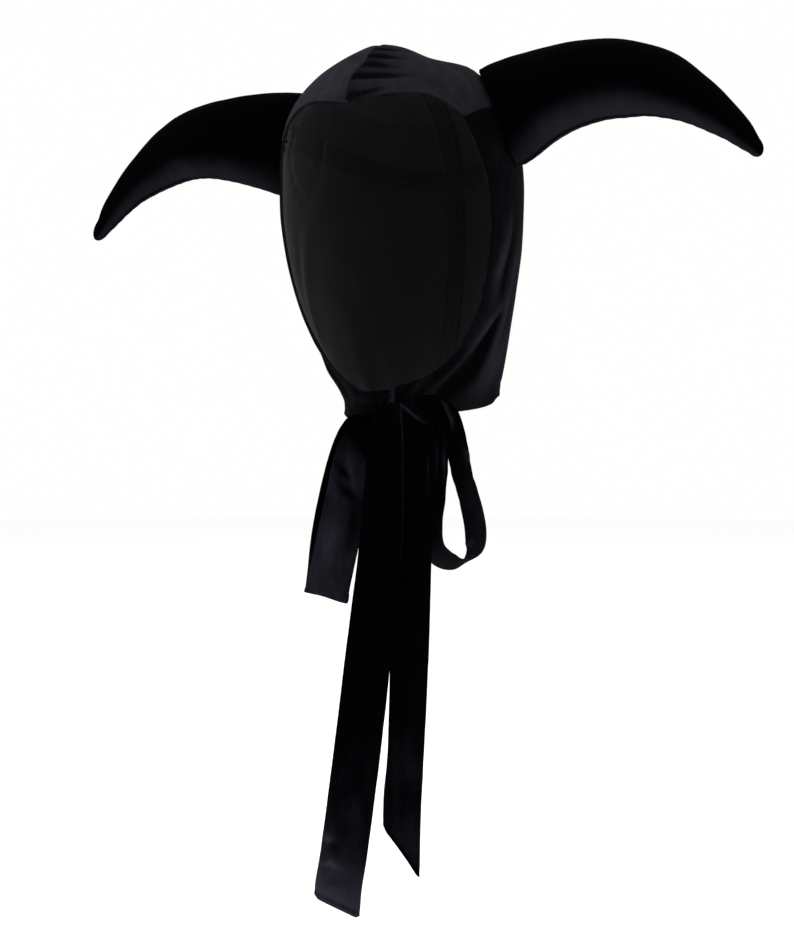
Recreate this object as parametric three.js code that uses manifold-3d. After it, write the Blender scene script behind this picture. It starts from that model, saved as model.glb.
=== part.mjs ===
// A soft velvet hood with two stuffed horns and a bow tied under the chin, in the form it has on a head.
// Millimetres. +Z is up, the face looks along -Y, and +X is the wearer's left.
// The origin is where the top of the head touches the inside of the crown.
// The hood is sewn from two crown panels and two side panels, so it is a hollow cloth wall that is open
// at the face and at the neck. The horns sit on the seam between crown and side. The ties are flat tubes
// of velvet, knotted in a bow that is turned to the wearer's left of the throat.
import * as THREE from "three";
import Module from "manifold-3d";

const wasm = await Module();
wasm.setup();

// Driving dimensions
const WALL = 2; // two layers of stretch velvet
const SEAM_GAP = 0.3; // between panels that are sewn to each other
const SEAT_GAP = 0.45; // between the panels and what is sewn or tied onto them
const RIBBON_WIDTH = 27.5;
const RIBBON_THICKNESS = 2;
const BOW_TURN = 24; // degrees, from the front towards the wearer's left
const BOW_CENTRE = { x: 22, y: -54.5, z: -229 };

const velvet = (color) => new THREE.MeshStandardMaterial({ color, roughness: 0.9, metalness: 0 });
const crownVelvet = velvet(0x1d1b22);
const hoodVelvet = velvet(0x131217);
const hornVelvet = velvet(0x0f0e13);
const tieVelvet = velvet(0x121118);

const radians = THREE.MathUtils.degToRad;
const clamp = THREE.MathUtils.clamp;
const smooth = THREE.MathUtils.smoothstep;
const lerp = THREE.MathUtils.lerp;

// A Catmull-Rom reading of one column of a table at a row number that may lie between rows.
function readColumn(rows, column, at) {
  const last = rows.length - 1;
  const i = clamp(Math.floor(at), 0, last - 1);
  const f = clamp(at - i, 0, 1);
  const p = [i - 1, i, i + 1, i + 2].map((k) => rows[clamp(k, 0, last)][column]);
  const slopeIn = (p[2] - p[0]) / 2;
  const slopeOut = (p[3] - p[1]) / 2;
  const f2 = f * f;
  const f3 = f2 * f;
  return (
    (2 * f3 - 3 * f2 + 1) * p[1] + (f3 - 2 * f2 + f) * slopeIn +
    (3 * f2 - 2 * f3) * p[2] + (f3 - f2) * slopeOut
  );
}

// A reading of one column where another column, which only rises or only falls, has a given value.
function readWhere(rows, key, value, column) {
  const falls = rows[0][key] > rows[rows.length - 1][key];
  let i = 0;
  while (i < rows.length - 2 && (falls ? rows[i + 1][key] > value : rows[i + 1][key] < value)) i += 1;
  let low = i;
  let high = i + 1;
  for (let step = 0; step < 30; step += 1) {
    const middle = (low + high) / 2;
    const before = readColumn(rows, key, middle);
    if (falls ? before > value : before < value) low = middle;
    else high = middle;
  }
  return readColumn(rows, column, low);
}

// Level sections of the hood's outer face, from the top of the crown to below the hem.
// half: half-width. mid: y of the widest place. front, back: y at the middle line.
// power: 2 is an ellipse; more is squarer, and less is pointed, as where the cloth is drawn to the knot.
// lean: how far both half-widths lie over to the wearer's right, towards which the hood has slipped.
const SECTIONS = [
  { z: 3.0, half: 0, mid: 0, front: 0, back: 0, power: 2.0, lean: 0 },
  { z: 1.6, half: 13, mid: 0, front: -22, back: 28, power: 2.0, lean: 0 },
  { z: -1.5, half: 25, mid: 0, front: -34, back: 46, power: 2.0, lean: 0 },
  { z: -6, half: 36, mid: 0, front: -42, back: 60, power: 2.1, lean: 0 },
  { z: -11.5, half: 48, mid: 1, front: -49, back: 70, power: 2.2, lean: 0 },
  { z: -18, half: 58, mid: 2, front: -54, back: 79, power: 2.3, lean: 0 },
  { z: -33, half: 68, mid: 3, front: -65, back: 89, power: 2.4, lean: 0 },
  { z: -50, half: 73.5, mid: 3, front: -73, back: 97, power: 2.4, lean: 0 },
  { z: -75, half: 76.5, mid: 3, front: -78, back: 101, power: 2.2, lean: 0.6 },
  { z: -105, half: 77, mid: 3, front: -75, back: 101, power: 2.1, lean: 1.6 },
  { z: -134, half: 74.5, mid: 5, front: -63, back: 97, power: 2.1, lean: 2 },
  { z: -156, half: 70.5, mid: 10, front: -56, back: 91, power: 2.1, lean: 2 },
  { z: -177, half: 65.5, mid: 16, front: -51, back: 84, power: 1.9, lean: 1.4 },
  { z: -198, half: 60, mid: 21, front: -43, back: 77, power: 1.7, lean: 0 },
  { z: -215, half: 57, mid: 24, front: -44, back: 73, power: 1.6, lean: 0 },
  { z: -232, half: 56, mid: 25, front: -50, back: 72, power: 1.6, lean: 0 },
  { z: -250, half: 56, mid: 25, front: -52, back: 72, power: 1.6, lean: 0 },
];

// Half of the face opening's edge, from the point over the brow, by the temple, to under the chin.
// wide: how much farther out it lies on the left.
const FACE_EDGE = [
  { x: 0, z: -50, wide: 0 },
  { x: 9, z: -47, wide: 0 },
  { x: 20, z: -44, wide: 0 },
  { x: 31, z: -42.5, wide: 0 },
  { x: 41, z: -43.5, wide: 0 },
  { x: 49, z: -47, wide: 0 },
  { x: 56, z: -52, wide: 0 },
  { x: 61, z: -58, wide: 0 },
  { x: 64.6, z: -67, wide: 0.6 },
  { x: 66.8, z: -78, wide: 1.6 },
  { x: 68.6, z: -92, wide: 2.6 },
  { x: 69.1, z: -107, wide: 3 },
  { x: 68.4, z: -121, wide: 3 },
  { x: 66.6, z: -134, wide: 3 },
  { x: 63.6, z: -150, wide: 2.8 },
  { x: 59.4, z: -165, wide: 2.4 },
  { x: 54, z: -178, wide: 1.4 },
  { x: 46.5, z: -191.2, wide: 0.6 },
  { x: 37, z: -202, wide: 0 },
  { x: 26, z: -209, wide: 0 },
  { x: 13, z: -213.7, wide: 0 },
  { x: 0, z: -216, wide: 0 },
];
const TEMPLE_ROW = 7;

// Height of the crown seam and of the neck hem by angle round the head, with 0 at the face.
const CROWN_SEAM = [
  { angle: 40, z: -62 },
  { angle: 52, z: -57 },
  { angle: 70, z: -47 },
  { angle: 90, z: -44 },
  { angle: 120, z: -46 },
  { angle: 150, z: -51 },
  { angle: 180, z: -54 },
];
const NECK_HEM = [
  { angle: -20, z: -236 },
  { angle: 15, z: -236 },
  { angle: 40, z: -231 },
  { angle: 66, z: -226.5 },
  { angle: 84, z: -222 },
  { angle: 96, z: -217.5 },
  { angle: 112, z: -215.4 },
  { angle: 140, z: -215 },
  { angle: 180, z: -214 },
];

// Folds of the cloth, each a soft line on the surface from one angle and height to another.
// depth: positive stands out. reach: half-width. side: 1 is the wearer's left, -1 the right, 0 both.
const FOLDS = [
  { side: 1, angle: 34, z: -216, toAngle: 88, toZ: -160, depth: -4.2, reach: 7 },
  { side: 1, angle: 52, z: -217, toAngle: 101, toZ: -163, depth: 2.4, reach: 8 },
  { side: 1, angle: 44, z: -202, toAngle: 76, toZ: -152, depth: 1.8, reach: 5 },
  { side: 1, angle: 84, z: -88, toAngle: 80, toZ: -152, depth: 1.6, reach: 5 },
  { side: 1, angle: 94, z: -92, toAngle: 90, toZ: -156, depth: -1.6, reach: 4 },
  { side: 1, angle: 104, z: -88, toAngle: 101, toZ: -168, depth: 1.8, reach: 6 },
  { side: -1, angle: 14, z: -222, toAngle: 60, toZ: -196, depth: -3.2, reach: 6 },
  { side: -1, angle: 30, z: -230, toAngle: 84, toZ: -176, depth: 1.8, reach: 8 },
  { side: -1, angle: 92, z: -90, toAngle: 88, toZ: -158, depth: -1.4, reach: 5 },
  { side: 0, angle: 128, z: -214, toAngle: 118, toZ: -164, depth: -2.2, reach: 9 },
  { side: 0, angle: 154, z: -216, toAngle: 150, toZ: -170, depth: 2, reach: 10 },
];

// Gathers that run from the middle seam over the left of the brow, by height at the seam and at the end.
const GATHERS = [
  { z: -42, toZ: -36, length: 30, depth: -1.4, reach: 3.6 },
  { z: -33.5, toZ: -29, length: 44, depth: -2.4, reach: 3.4 },
  { z: -22, toZ: -21, length: 30, depth: -1.9, reach: 2.6 },
  { z: -13, toZ: -13.5, length: 28, depth: -1.7, reach: 2.6 },
  { z: -6, toZ: -8, length: 24, depth: -1.4, reach: 2.4 },
];
const KEEL_HEIGHT = 1.8; // the middle seam stands up in a ridge from the brow over the crown
const KEEL_REACH = 13;
const SLUMP = { x: 33, depth: -4.6, reach: 20 }; // the gathered left half lies lower beside the seam

const RIGHT_TUCK = 11; // the neck is drawn in more on the right, because the bow is left of the middle

const rowAtZ = (z) => {
  const indexed = SECTIONS.map((row, index) => ({ z: row.z, index }));
  return readWhere(indexed, "z", z, "index");
};

// The angle at which the section through a height has a given half-width x.
function angleAtX(x, z) {
  const row = rowAtZ(z);
  const share = Math.abs(x) / readColumn(SECTIONS, "half", row);
  const power = readColumn(SECTIONS, "power", row);
  return THREE.MathUtils.radToDeg(Math.asin(clamp(share ** (power / 2), 0, 1))) * Math.sign(x);
}

// How far the folds lift the cloth at an angle and height on one side.
function foldLift(side, angle, z) {
  let lift = 0;
  for (const fold of FOLDS) {
    if (fold.side !== 0 && fold.side !== side) continue;
    const arc = radians(fold.toAngle - fold.angle) * 70;
    const rise = fold.toZ - fold.z;
    const length = Math.hypot(arc, rise);
    const dx = radians(angle - fold.angle) * 70;
    const dz = z - fold.z;
    const along = (dx * arc + dz * rise) / (length * length);
    const across = (dx * rise - dz * arc) / length;
    const ends = smooth(along, -0.2, 0.25) * (1 - smooth(along, 0.7, 1.2));
    lift += fold.depth * ends * Math.exp(-((across / fold.reach) ** 2));
  }
  return lift;
}

// The brow's keel and gathers, by distance from the middle plane.
function browLift(side, x, y, z) {
  const fore = 1 - smooth(y, -30, 45);
  let lift = KEEL_HEIGHT * fore * Math.exp(-Math.abs(x) / KEEL_REACH);
  const aft = 1 - smooth(y, 5, 70);
  if (side > 0) lift += SLUMP.depth * aft * Math.exp(-(((x - SLUMP.x) / SLUMP.reach) ** 2));
  if (side > 0 && y < 10) {
    for (const gather of GATHERS) {
      const run = clamp(x / gather.length, 0, 1);
      const across = (z - lerp(gather.z, gather.toZ, run)) / gather.reach;
      const fade = (1 - smooth(run, 0.25, 1)) * smooth(x, 0, 1.5);
      lift += gather.depth * fade * Math.exp(-across * across);
    }
  }
  return lift;
}

// A point of the hood's outer face on one side. The row number runs down the sections.
function hoodPoint(side, angle, row) {
  const read = (column) => readColumn(SECTIONS, column, row);
  const z = read("z");
  const tuck = side < 0 ? RIGHT_TUCK * smooth(-z, 195, 228) : 0;
  const half = read("half") - tuck - side * read("lean");
  const mid = read("mid");
  const turn = radians(angle);
  const isFront = Math.cos(turn) >= 0;
  const depth = isFront ? mid - read("front") : read("back") - mid;
  const power = isFront ? read("power") : 2;
  const across = Math.abs(Math.sin(turn)) ** (2 / power);
  const fore = Math.abs(Math.cos(turn)) ** (2 / power);
  const x = half * across * Math.sign(Math.sin(turn) || 1);
  const y = isFront ? mid - depth * fore : mid + depth * fore;
  const outward = new THREE.Vector3(
    x / Math.max(half, 1) ** 2,
    (y - mid) / Math.max(depth, 1) ** 2,
    0.016 * smooth(z, -60, 2),
  ).normalize();
  const onSide = angle < 0 ? -side : side;
  const lift = foldLift(onSide, Math.abs(angle), z) + browLift(onSide, Math.abs(x), y, z);
  return new THREE.Vector3(x * side, y, z).addScaledVector(
    new THREE.Vector3(outward.x * side, outward.y, outward.z),
    lift * smooth(row, 0, 1.2),
  );
}

// The outer face's normal, from its neighbours on the surface.
function hoodNormal(side, angle, row) {
  const turn = 1.2;
  const drop = 0.06;
  const atPole = row < 0.15;
  if (atPole) return new THREE.Vector3(0, 0, 1);
  const across = hoodPoint(side, angle + turn, row).sub(hoodPoint(side, angle - turn, row));
  const down = hoodPoint(side, angle, row + drop).sub(hoodPoint(side, angle, row - drop));
  return down.cross(across).multiplyScalar(side).normalize();
}

// A closed cloth wall from a grid of outer points and the same grid of inner points.
function wallGeometry(outer, inner, flip) {
  const rows = outer.length;
  const columns = outer[0].length;
  const positions = [];
  [...outer.flat(), ...inner.flat()].forEach((p) => positions.push(p.x, p.y, p.z));
  const at = (face, i, j) => face * rows * columns + i * columns + j;
  const index = [];
  const quad = (a, b, c, d) => index.push(...(flip ? [a, c, b, a, d, c] : [a, b, c, a, c, d]));
  for (let i = 0; i < rows - 1; i += 1) {
    for (let j = 0; j < columns - 1; j += 1) {
      quad(at(0, i, j), at(0, i + 1, j), at(0, i + 1, j + 1), at(0, i, j + 1));
      quad(at(1, i, j), at(1, i, j + 1), at(1, i + 1, j + 1), at(1, i + 1, j));
    }
    quad(at(0, i, 0), at(1, i, 0), at(1, i + 1, 0), at(0, i + 1, 0));
    const j = columns - 1;
    quad(at(0, i, j), at(0, i + 1, j), at(1, i + 1, j), at(1, i, j));
  }
  for (let j = 0; j < columns - 1; j += 1) {
    quad(at(0, 0, j), at(0, 0, j + 1), at(1, 0, j + 1), at(1, 0, j));
    quad(at(0, rows - 1, j), at(1, rows - 1, j), at(1, rows - 1, j + 1), at(0, rows - 1, j + 1));
  }
  return solidGeometry(positions, index);
}

// A closed triangle list made clean by manifold: points that coincide are merged and slivers drop out.
function solidGeometry(positions, index) {
  const keys = new Map();
  const merged = [];
  const remap = [];
  for (let i = 0; i < positions.length; i += 3) {
    const key = [0, 1, 2].map((k) => Math.round(positions[i + k] * 1e4)).join(",");
    if (!keys.has(key)) {
      keys.set(key, merged.length / 3);
      merged.push(positions[i], positions[i + 1], positions[i + 2]);
    }
    remap.push(keys.get(key));
  }
  const triangles = [];
  for (let i = 0; i < index.length; i += 3) {
    const [a, b, c] = [remap[index[i]], remap[index[i + 1]], remap[index[i + 2]]];
    if (a !== b && b !== c && a !== c) triangles.push(a, b, c);
  }
  return geometryOf(solidOf(merged, triangles));
}

const solidOf = (positions, triangles) =>
  new wasm.Manifold(
    new wasm.Mesh({
      numProp: 3,
      vertProperties: new Float32Array(positions),
      triVerts: new Uint32Array(triangles),
    }),
  );

function geometryOf(solid) {
  const mesh = solid.getMesh();
  const geometry = new THREE.BufferGeometry();
  geometry.setAttribute("position", new THREE.BufferAttribute(new Float32Array(mesh.vertProperties), 3));
  geometry.setIndex(new THREE.BufferAttribute(new Uint32Array(mesh.triVerts), 1));
  geometry.computeVertexNormals();
  return geometry;
}

function solidFrom(geometry) {
  return solidOf(geometry.getAttribute("position").array, geometry.index.array);
}

// Outer and inner grids of one panel, from a function of two shares that gives an angle and a row number.
function panelGeometry(side, rows, columns, placeAt) {
  const outer = [];
  const inner = [];
  for (let i = 0; i <= rows; i += 1) {
    outer.push([]);
    inner.push([]);
    for (let j = 0; j <= columns; j += 1) {
      const { angle, row } = placeAt(i / rows, j / columns);
      const point = hoodPoint(side, angle, row);
      const normal = hoodNormal(side, angle, row);
      const middle = angle === 0 || angle === 180;
      if (middle) normal.setX(0).normalize();
      outer[i].push(point);
      inner[i].push(point.clone().addScaledVector(normal, -WALL));
    }
  }
  return wallGeometry(outer, inner, side < 0);
}

const faceEdgeAt = (at, side = -1) => {
  const wide = side > 0 ? readColumn(FACE_EDGE, "wide", at) : 0;
  const z = readColumn(FACE_EDGE, "z", at);
  return { angle: angleAtX(readColumn(FACE_EDGE, "x", at) + wide, z), z };
};
const TEMPLE = faceEdgeAt(TEMPLE_ROW);
const seamZ = (angle) => {
  const z = readWhere(CROWN_SEAM, "angle", angle, "z");
  const shift = TEMPLE.z - readWhere(CROWN_SEAM, "angle", TEMPLE.angle, "z");
  return z + shift * (1 - smooth(angle, TEMPLE.angle, 75));
};
const hemZ = (angle) => readWhere(NECK_HEM, "angle", angle, "z");

// The edge of the face opening over the brow, by angle.
function browZ(angle) {
  let low = 0;
  let high = TEMPLE_ROW;
  for (let step = 0; step < 30; step += 1) {
    const middle = (low + high) / 2;
    if (faceEdgeAt(middle).angle < angle) low = middle;
    else high = middle;
  }
  return faceEdgeAt(low).z;
}

// The crown panel spreads from the top of the head down to the brow's edge and the crown seam.
const CROWN_ROWS = 17;
const BROW_COLUMNS = 9;
const SIDE_COLUMNS = 16;
const CROWN_COLUMNS = BROW_COLUMNS + SIDE_COLUMNS; // the seam has the same steps on both of its sides
function crownPlace(down, round) {
  const brow = BROW_COLUMNS / CROWN_COLUMNS;
  const isBrow = round <= brow;
  const past = (round - brow) / (1 - brow);
  const angle = isBrow ? (round / brow) * TEMPLE.angle : lerp(TEMPLE.angle, 180, past);
  const edge = isBrow ? browZ(angle) : seamZ(angle);
  return { angle, row: rowAtZ(edge) * down ** 0.85 };
}

// The side panel is a four-sided patch between crown seam, face edge, neck hem and the seam down the back.
const SIDE_ROWS = 23;
const CHIN_SHARE = 0.9; // of the front edge, from the temple to the chin; the rest is the end at the knot
function sidePlace(side, down, back) {
  const meet = side > 0 ? 13 : -12; // x at which the two sides meet behind the knot
  const lastRow = side > 0 ? 20 : 21.92;
  const frontAt = (share) => {
    const toChin = clamp(share / CHIN_SHARE, 0, 1);
    const row = lerp(TEMPLE_ROW, Math.min(lastRow, FACE_EDGE.length - 1), toChin);
    let { angle, z } = faceEdgeAt(row, side);
    if (side < 0 && toChin > 0.88) {
      const past = (toChin - 0.88) / 0.12;
      const x = lerp(readColumn(FACE_EDGE, "x", lerp(TEMPLE_ROW, 21, 0.88)), meet, past);
      z = -216 + 2.5 * (x / 13) ** 2;
      angle = angleAtX(x, z);
    }
    if (share > CHIN_SHARE) {
      z = lerp(z, hemZ(angle), (share - CHIN_SHARE) / (1 - CHIN_SHARE));
    }
    return { angle, z };
  };
  const topZ = (angle) => seamZ(angle) - SEAM_GAP;
  const front = frontAt(down);
  const end = frontAt(1);
  const topAngle = lerp(TEMPLE.angle, 180, back);
  const hemAngle = lerp(end.angle, 180, back);
  const backZ = lerp(topZ(180), hemZ(180), down);
  const coons = (edges, corners) =>
    (1 - down) * edges[0] + down * edges[1] + (1 - back) * edges[2] + back * edges[3] -
    (1 - down) * lerp(corners[0], corners[1], back) - down * lerp(corners[2], corners[3], back);
  const turned = coons([topAngle, hemAngle, front.angle, 180], [TEMPLE.angle, 180, end.angle, 180]);
  const heights = [topZ(topAngle), hemZ(hemAngle), front.z, backZ];
  const z = coons(heights, [topZ(TEMPLE.angle), topZ(180), end.z, hemZ(180)]);
  return { angle: back === 1 ? 180 : turned, row: rowAtZ(z) };
}

// Horns. Each row is one section between the upper and the lower edge of the horn, on the wearer's left.
// deep: half-depth of the stuffed tube from front to back.
const HORN = [
  { topX: 44, topY: -8, topZ: -18, lowX: 68, lowY: 7, lowZ: -80, deep: 20 },
  { topX: 60, topY: -9, topZ: -14.5, lowX: 79, lowY: 4, lowZ: -77.5, deep: 22.5 },
  { topX: 80, topY: -13, topZ: -12.2, lowX: 90, lowY: -3, lowZ: -75.3, deep: 24 },
  { topX: 102, topY: -20, topZ: -13, lowX: 106, lowY: -14, lowZ: -70.3, deep: 24 },
  { topX: 123, topY: -25, topZ: -14.7, lowX: 122, lowY: -20, lowZ: -66.4, deep: 22.5 },
  { topX: 143, topY: -24.5, topZ: -17, lowX: 138, lowY: -23.5, lowZ: -64.5, deep: 21 },
  { topX: 163, topY: -21.5, topZ: -22, lowX: 152, lowY: -21.5, lowZ: -64, deep: 19.5 },
  { topX: 180, topY: -20, topZ: -29.5, lowX: 165, lowY: -20, lowZ: -65, deep: 17 },
  { topX: 194, topY: -20, topZ: -41, lowX: 178, lowY: -20, lowZ: -68.7, deep: 14.5 },
  { topX: 204.5, topY: -21.5, topZ: -52, lowX: 191, lowY: -21.5, lowZ: -74, deep: 11.5 },
  { topX: 213, topY: -23, topZ: -63.5, lowX: 203, lowY: -23, lowZ: -81.7, deep: 9 },
  { topX: 220, topY: -24, topZ: -74, lowX: 212, lowY: -24, lowZ: -88.5, deep: 7 },
  { topX: 224.5, topY: -25, topZ: -83, lowX: 218.5, lowY: -25, lowZ: -93.5, deep: 5 },
];
// How much higher the upper and the lower edge lie on each horn, because both are stuffed by hand.
const HORN_SAG = [
  { leftTop: -1, leftLow: 2, rightTop: 0, rightLow: 0 },
  { leftTop: -1.6, leftLow: 2.4, rightTop: 0, rightLow: -1.4 },
  { leftTop: -2, leftLow: 2.6, rightTop: 0, rightLow: -2.2 },
  { leftTop: -2.2, leftLow: 3.2, rightTop: -1, rightLow: -1.8 },
  { leftTop: -1.6, leftLow: 2.8, rightTop: -1.6, rightLow: -2 },
  { leftTop: -1.2, leftLow: 2.4, rightTop: -2.8, rightLow: -0.8 },
  { leftTop: -1, leftLow: 2.8, rightTop: -3.6, rightLow: -0.2 },
  { leftTop: -1.6, leftLow: 3, rightTop: -4, rightLow: -1 },
  { leftTop: -2.4, leftLow: 2.4, rightTop: -2.8, rightLow: -0.8 },
  { leftTop: -2.3, leftLow: 0.6, rightTop: -2.6, rightLow: -1 },
  { leftTop: -2.3, leftLow: 0.9, rightTop: -2.2, rightLow: -2 },
  { leftTop: -2.3, leftLow: 1.2, rightTop: -2.4, rightLow: -2.6 },
  { leftTop: -2.3, leftLow: 1.6, rightTop: -3, rightLow: -3 },
];
const HORN_TIP = { left: { x: 4.5, z: -6.5 }, right: { x: 8.5, z: -9.5 } }; // past the last row
const HORN_RINGS = 24;
const HORN_SIDES = 14;

function hornPoint(side, at, turn) {
  const read = (column) => readColumn(HORN, column, at);
  const sag = (edge) => readColumn(HORN_SAG, (side > 0 ? "left" : "right") + edge, at);
  const top = new THREE.Vector3(read("topX"), read("topY"), read("topZ") + sag("Top"));
  const low = new THREE.Vector3(read("lowX"), read("lowY"), read("lowZ") + sag("Low"));
  const point = low.lerp(top, (1 + Math.cos(turn)) / 2);
  point.y += -Math.sin(turn) * read("deep");
  point.x *= side;
  return point;
}

function hornGeometry(side, form) {
  const positions = [];
  const index = [];
  const last = HORN.length - 1;
  const tip = hornPoint(side, last, 0).add(hornPoint(side, last, Math.PI)).multiplyScalar(0.5);
  const reach = side > 0 ? HORN_TIP.left : HORN_TIP.right;
  tip.add(new THREE.Vector3(reach.x * side, -0.5, reach.z));
  const root = hornPoint(side, 0, 0).add(hornPoint(side, 0, Math.PI)).multiplyScalar(0.5);
  for (let i = 0; i <= HORN_RINGS; i += 1) {
    for (let j = 0; j < HORN_SIDES; j += 1) {
      const point = hornPoint(side, (last * i) / HORN_RINGS, (2 * Math.PI * j) / HORN_SIDES);
      positions.push(point.x, point.y, point.z);
    }
  }
  // A ring halfway to the tip rounds the end.
  for (let j = 0; j < HORN_SIDES; j += 1) {
    const point = hornPoint(side, last, (2 * Math.PI * j) / HORN_SIDES).lerp(tip, 0.62);
    point.addScaledVector(hornPoint(side, last, (2 * Math.PI * j) / HORN_SIDES).sub(tip), 0.16);
    positions.push(point.x, point.y, point.z);
  }
  const rings = HORN_RINGS + 2;
  const face = (a, b, c) => index.push(...(side > 0 ? [a, b, c] : [a, c, b]));
  for (let i = 0; i < rings - 1; i += 1) {
    for (let j = 0; j < HORN_SIDES; j += 1) {
      const next = (j + 1) % HORN_SIDES;
      const [a, b] = [i * HORN_SIDES + j, i * HORN_SIDES + next];
      face(a, b, b + HORN_SIDES);
      face(a, b + HORN_SIDES, a + HORN_SIDES);
    }
  }
  const rootAt = positions.length / 3;
  positions.push(root.x, root.y, root.z, tip.x, tip.y, tip.z);
  for (let j = 0; j < HORN_SIDES; j += 1) {
    const next = (j + 1) % HORN_SIDES;
    face(rootAt, next, j);
    face(rootAt + 1, (rings - 1) * HORN_SIDES + j, (rings - 1) * HORN_SIDES + next);
  }
  return geometryOf(solidOf(positions, index).subtract(form));
}

// The hood's whole outer form, filled and a little larger, which trims what is seated on it.
function hoodForm(clearance) {
  const rows = 40;
  const columns = 72;
  const positions = [];
  const index = [];
  const lastRow = rowAtZ(-245);
  for (let i = 0; i <= rows; i += 1) {
    for (let j = 0; j < columns; j += 1) {
      const angle = (360 * j) / columns;
      const side = angle <= 180 ? 1 : -1;
      const share = lastRow * (i / rows) ** 0.85;
      const point = hoodPoint(side, side > 0 ? angle : 360 - angle, share);
      const normal = hoodNormal(side, side > 0 ? angle : 360 - angle, share);
      point.addScaledVector(normal, clearance);
      positions.push(point.x, point.y, point.z);
    }
  }
  for (let i = 0; i < rows; i += 1) {
    for (let j = 0; j < columns; j += 1) {
      const next = (j + 1) % columns;
      const [a, b] = [i * columns + j, i * columns + next];
      index.push(a, a + columns, b + columns, a, b + columns, b);
    }
  }
  const foot = positions.length / 3;
  positions.push(0, 20, -245);
  const hem = rows * columns;
  for (let j = 0; j < columns; j += 1) index.push(foot, hem + ((j + 1) % columns), hem + j);
  return solidFrom(solidGeometry(positions, index));
}

// Ties. A ribbon's rows are points of its middle line in the bow's own frame: x to the bow's right,
// -y out towards the viewer of the bow, z up. bearing and rise point along the ribbon's width.
// width is a share of the full width, less where the ribbon is gathered by the knot.
const TAIL_LEFT = [
  { x: 12, y: -6, z: -9, bearing: -8, rise: 0, width: 0.6 },
  { x: 11.8, y: -10.5, z: -24, bearing: -20, rise: 0, width: 0.72 },
  { x: 10.6, y: -12, z: -50, bearing: -28, rise: 0, width: 0.84 },
  { x: 9, y: -12.5, z: -80, bearing: -36, rise: 0, width: 0.95 },
  { x: 7, y: -13, z: -135, bearing: -36, rise: 0, width: 1 },
  { x: 4.5, y: -14, z: -200, bearing: -40, rise: 0, width: 1 },
  { x: 2.4, y: -15.5, z: -232, bearing: -38, rise: -2, width: 1 },
  { x: 1.6, y: -19, z: -272, bearing: -38, rise: -4, width: 1 },
];
const TAIL_RIGHT = [
  { x: -6, y: -8, z: -9, bearing: -8, rise: 0, width: 0.6 },
  { x: -7.2, y: -14, z: -24, bearing: -10, rise: 0, width: 0.75 },
  { x: -9, y: -16, z: -54, bearing: -8, rise: 0, width: 0.86 },
  { x: -11, y: -16, z: -87, bearing: -5, rise: 0, width: 0.93 },
  { x: -17.5, y: -16, z: -143, bearing: 0, rise: 0, width: 0.98 },
  { x: -24, y: -16, z: -199, bearing: 0, rise: 0, width: 1 },
  { x: -31.4, y: -17, z: -256, bearing: 0, rise: 0, width: 1 },
  { x: -34.6, y: -21, z: -276, bearing: -2, rise: 0, width: 1 },
  { x: -36, y: -27, z: -293, bearing: -3, rise: 0, width: 1 },
];
const LOOP_RIGHT = [
  { x: -8, y: -3, z: 1, bearing: 30, rise: 60, width: 0.5 },
  { x: -17, y: 1, z: -1, bearing: 20, rise: 44, width: 0.62 },
  { x: -24, y: 4, z: -10, bearing: 14, rise: 24, width: 0.74 },
  { x: -29, y: 6, z: -24, bearing: 14, rise: 6, width: 0.86 },
  { x: -33.5, y: 6.5, z: -45, bearing: 14, rise: 0, width: 0.96 },
  { x: -38.5, y: 6.5, z: -74, bearing: 0, rise: 0, width: 1 },
  { x: -41.8, y: 5, z: -100, bearing: -14, rise: -10, width: 1 },
  { x: -43, y: 1.5, z: -110.5, bearing: -18, rise: -16, width: 1 },
  { x: -42.2, y: -3.5, z: -107, bearing: -20, rise: -16, width: 1 },
  { x: -37.2, y: -7, z: -83, bearing: -20, rise: -15, width: 1 },
  { x: -30.9, y: -8, z: -54, bearing: -14, rise: -13, width: 0.96 },
  { x: -24.6, y: -8, z: -25, bearing: -8, rise: -10, width: 0.86 },
  { x: -14, y: -4.5, z: -9, bearing: 0, rise: 0, width: 0.6 },
];
const LOOP_LEFT = [
  { x: 9, y: 0, z: 1, bearing: -10, rise: 70, width: 0.5 },
  { x: 19, y: 4, z: 1, bearing: -24, rise: 44, width: 0.66 },
  { x: 28, y: 7, z: -4, bearing: -40, rise: 24, width: 0.74 },
  { x: 35, y: 7, z: -20, bearing: -58, rise: 12, width: 0.8 },
  { x: 38.5, y: 5, z: -38, bearing: -66, rise: 6, width: 0.9 },
  { x: 43, y: 3, z: -54, bearing: -68, rise: 6, width: 1 },
  { x: 46.5, y: 2, z: -72, bearing: -68, rise: 8, width: 1 },
  { x: 45, y: 1.5, z: -85, bearing: -68, rise: 14, width: 1 },
  { x: 36, y: 1.5, z: -92, bearing: -68, rise: 20, width: 1 },
  { x: 25, y: 1.5, z: -89, bearing: -66, rise: 18, width: 1 },
  { x: 18.5, y: 1.5, z: -77, bearing: -62, rise: 10, width: 1 },
  { x: 21, y: 1, z: -44, bearing: -58, rise: 4, width: 0.92 },
  { x: 20.5, y: -1.5, z: -20, bearing: -42, rise: 4, width: 0.76 },
  { x: 12, y: -2.5, z: -8, bearing: -10, rise: 10, width: 0.5 },
];
const TAIL_CUTS = { left: 25, right: 10 }; // how much longer one edge of each slanting end is

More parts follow.
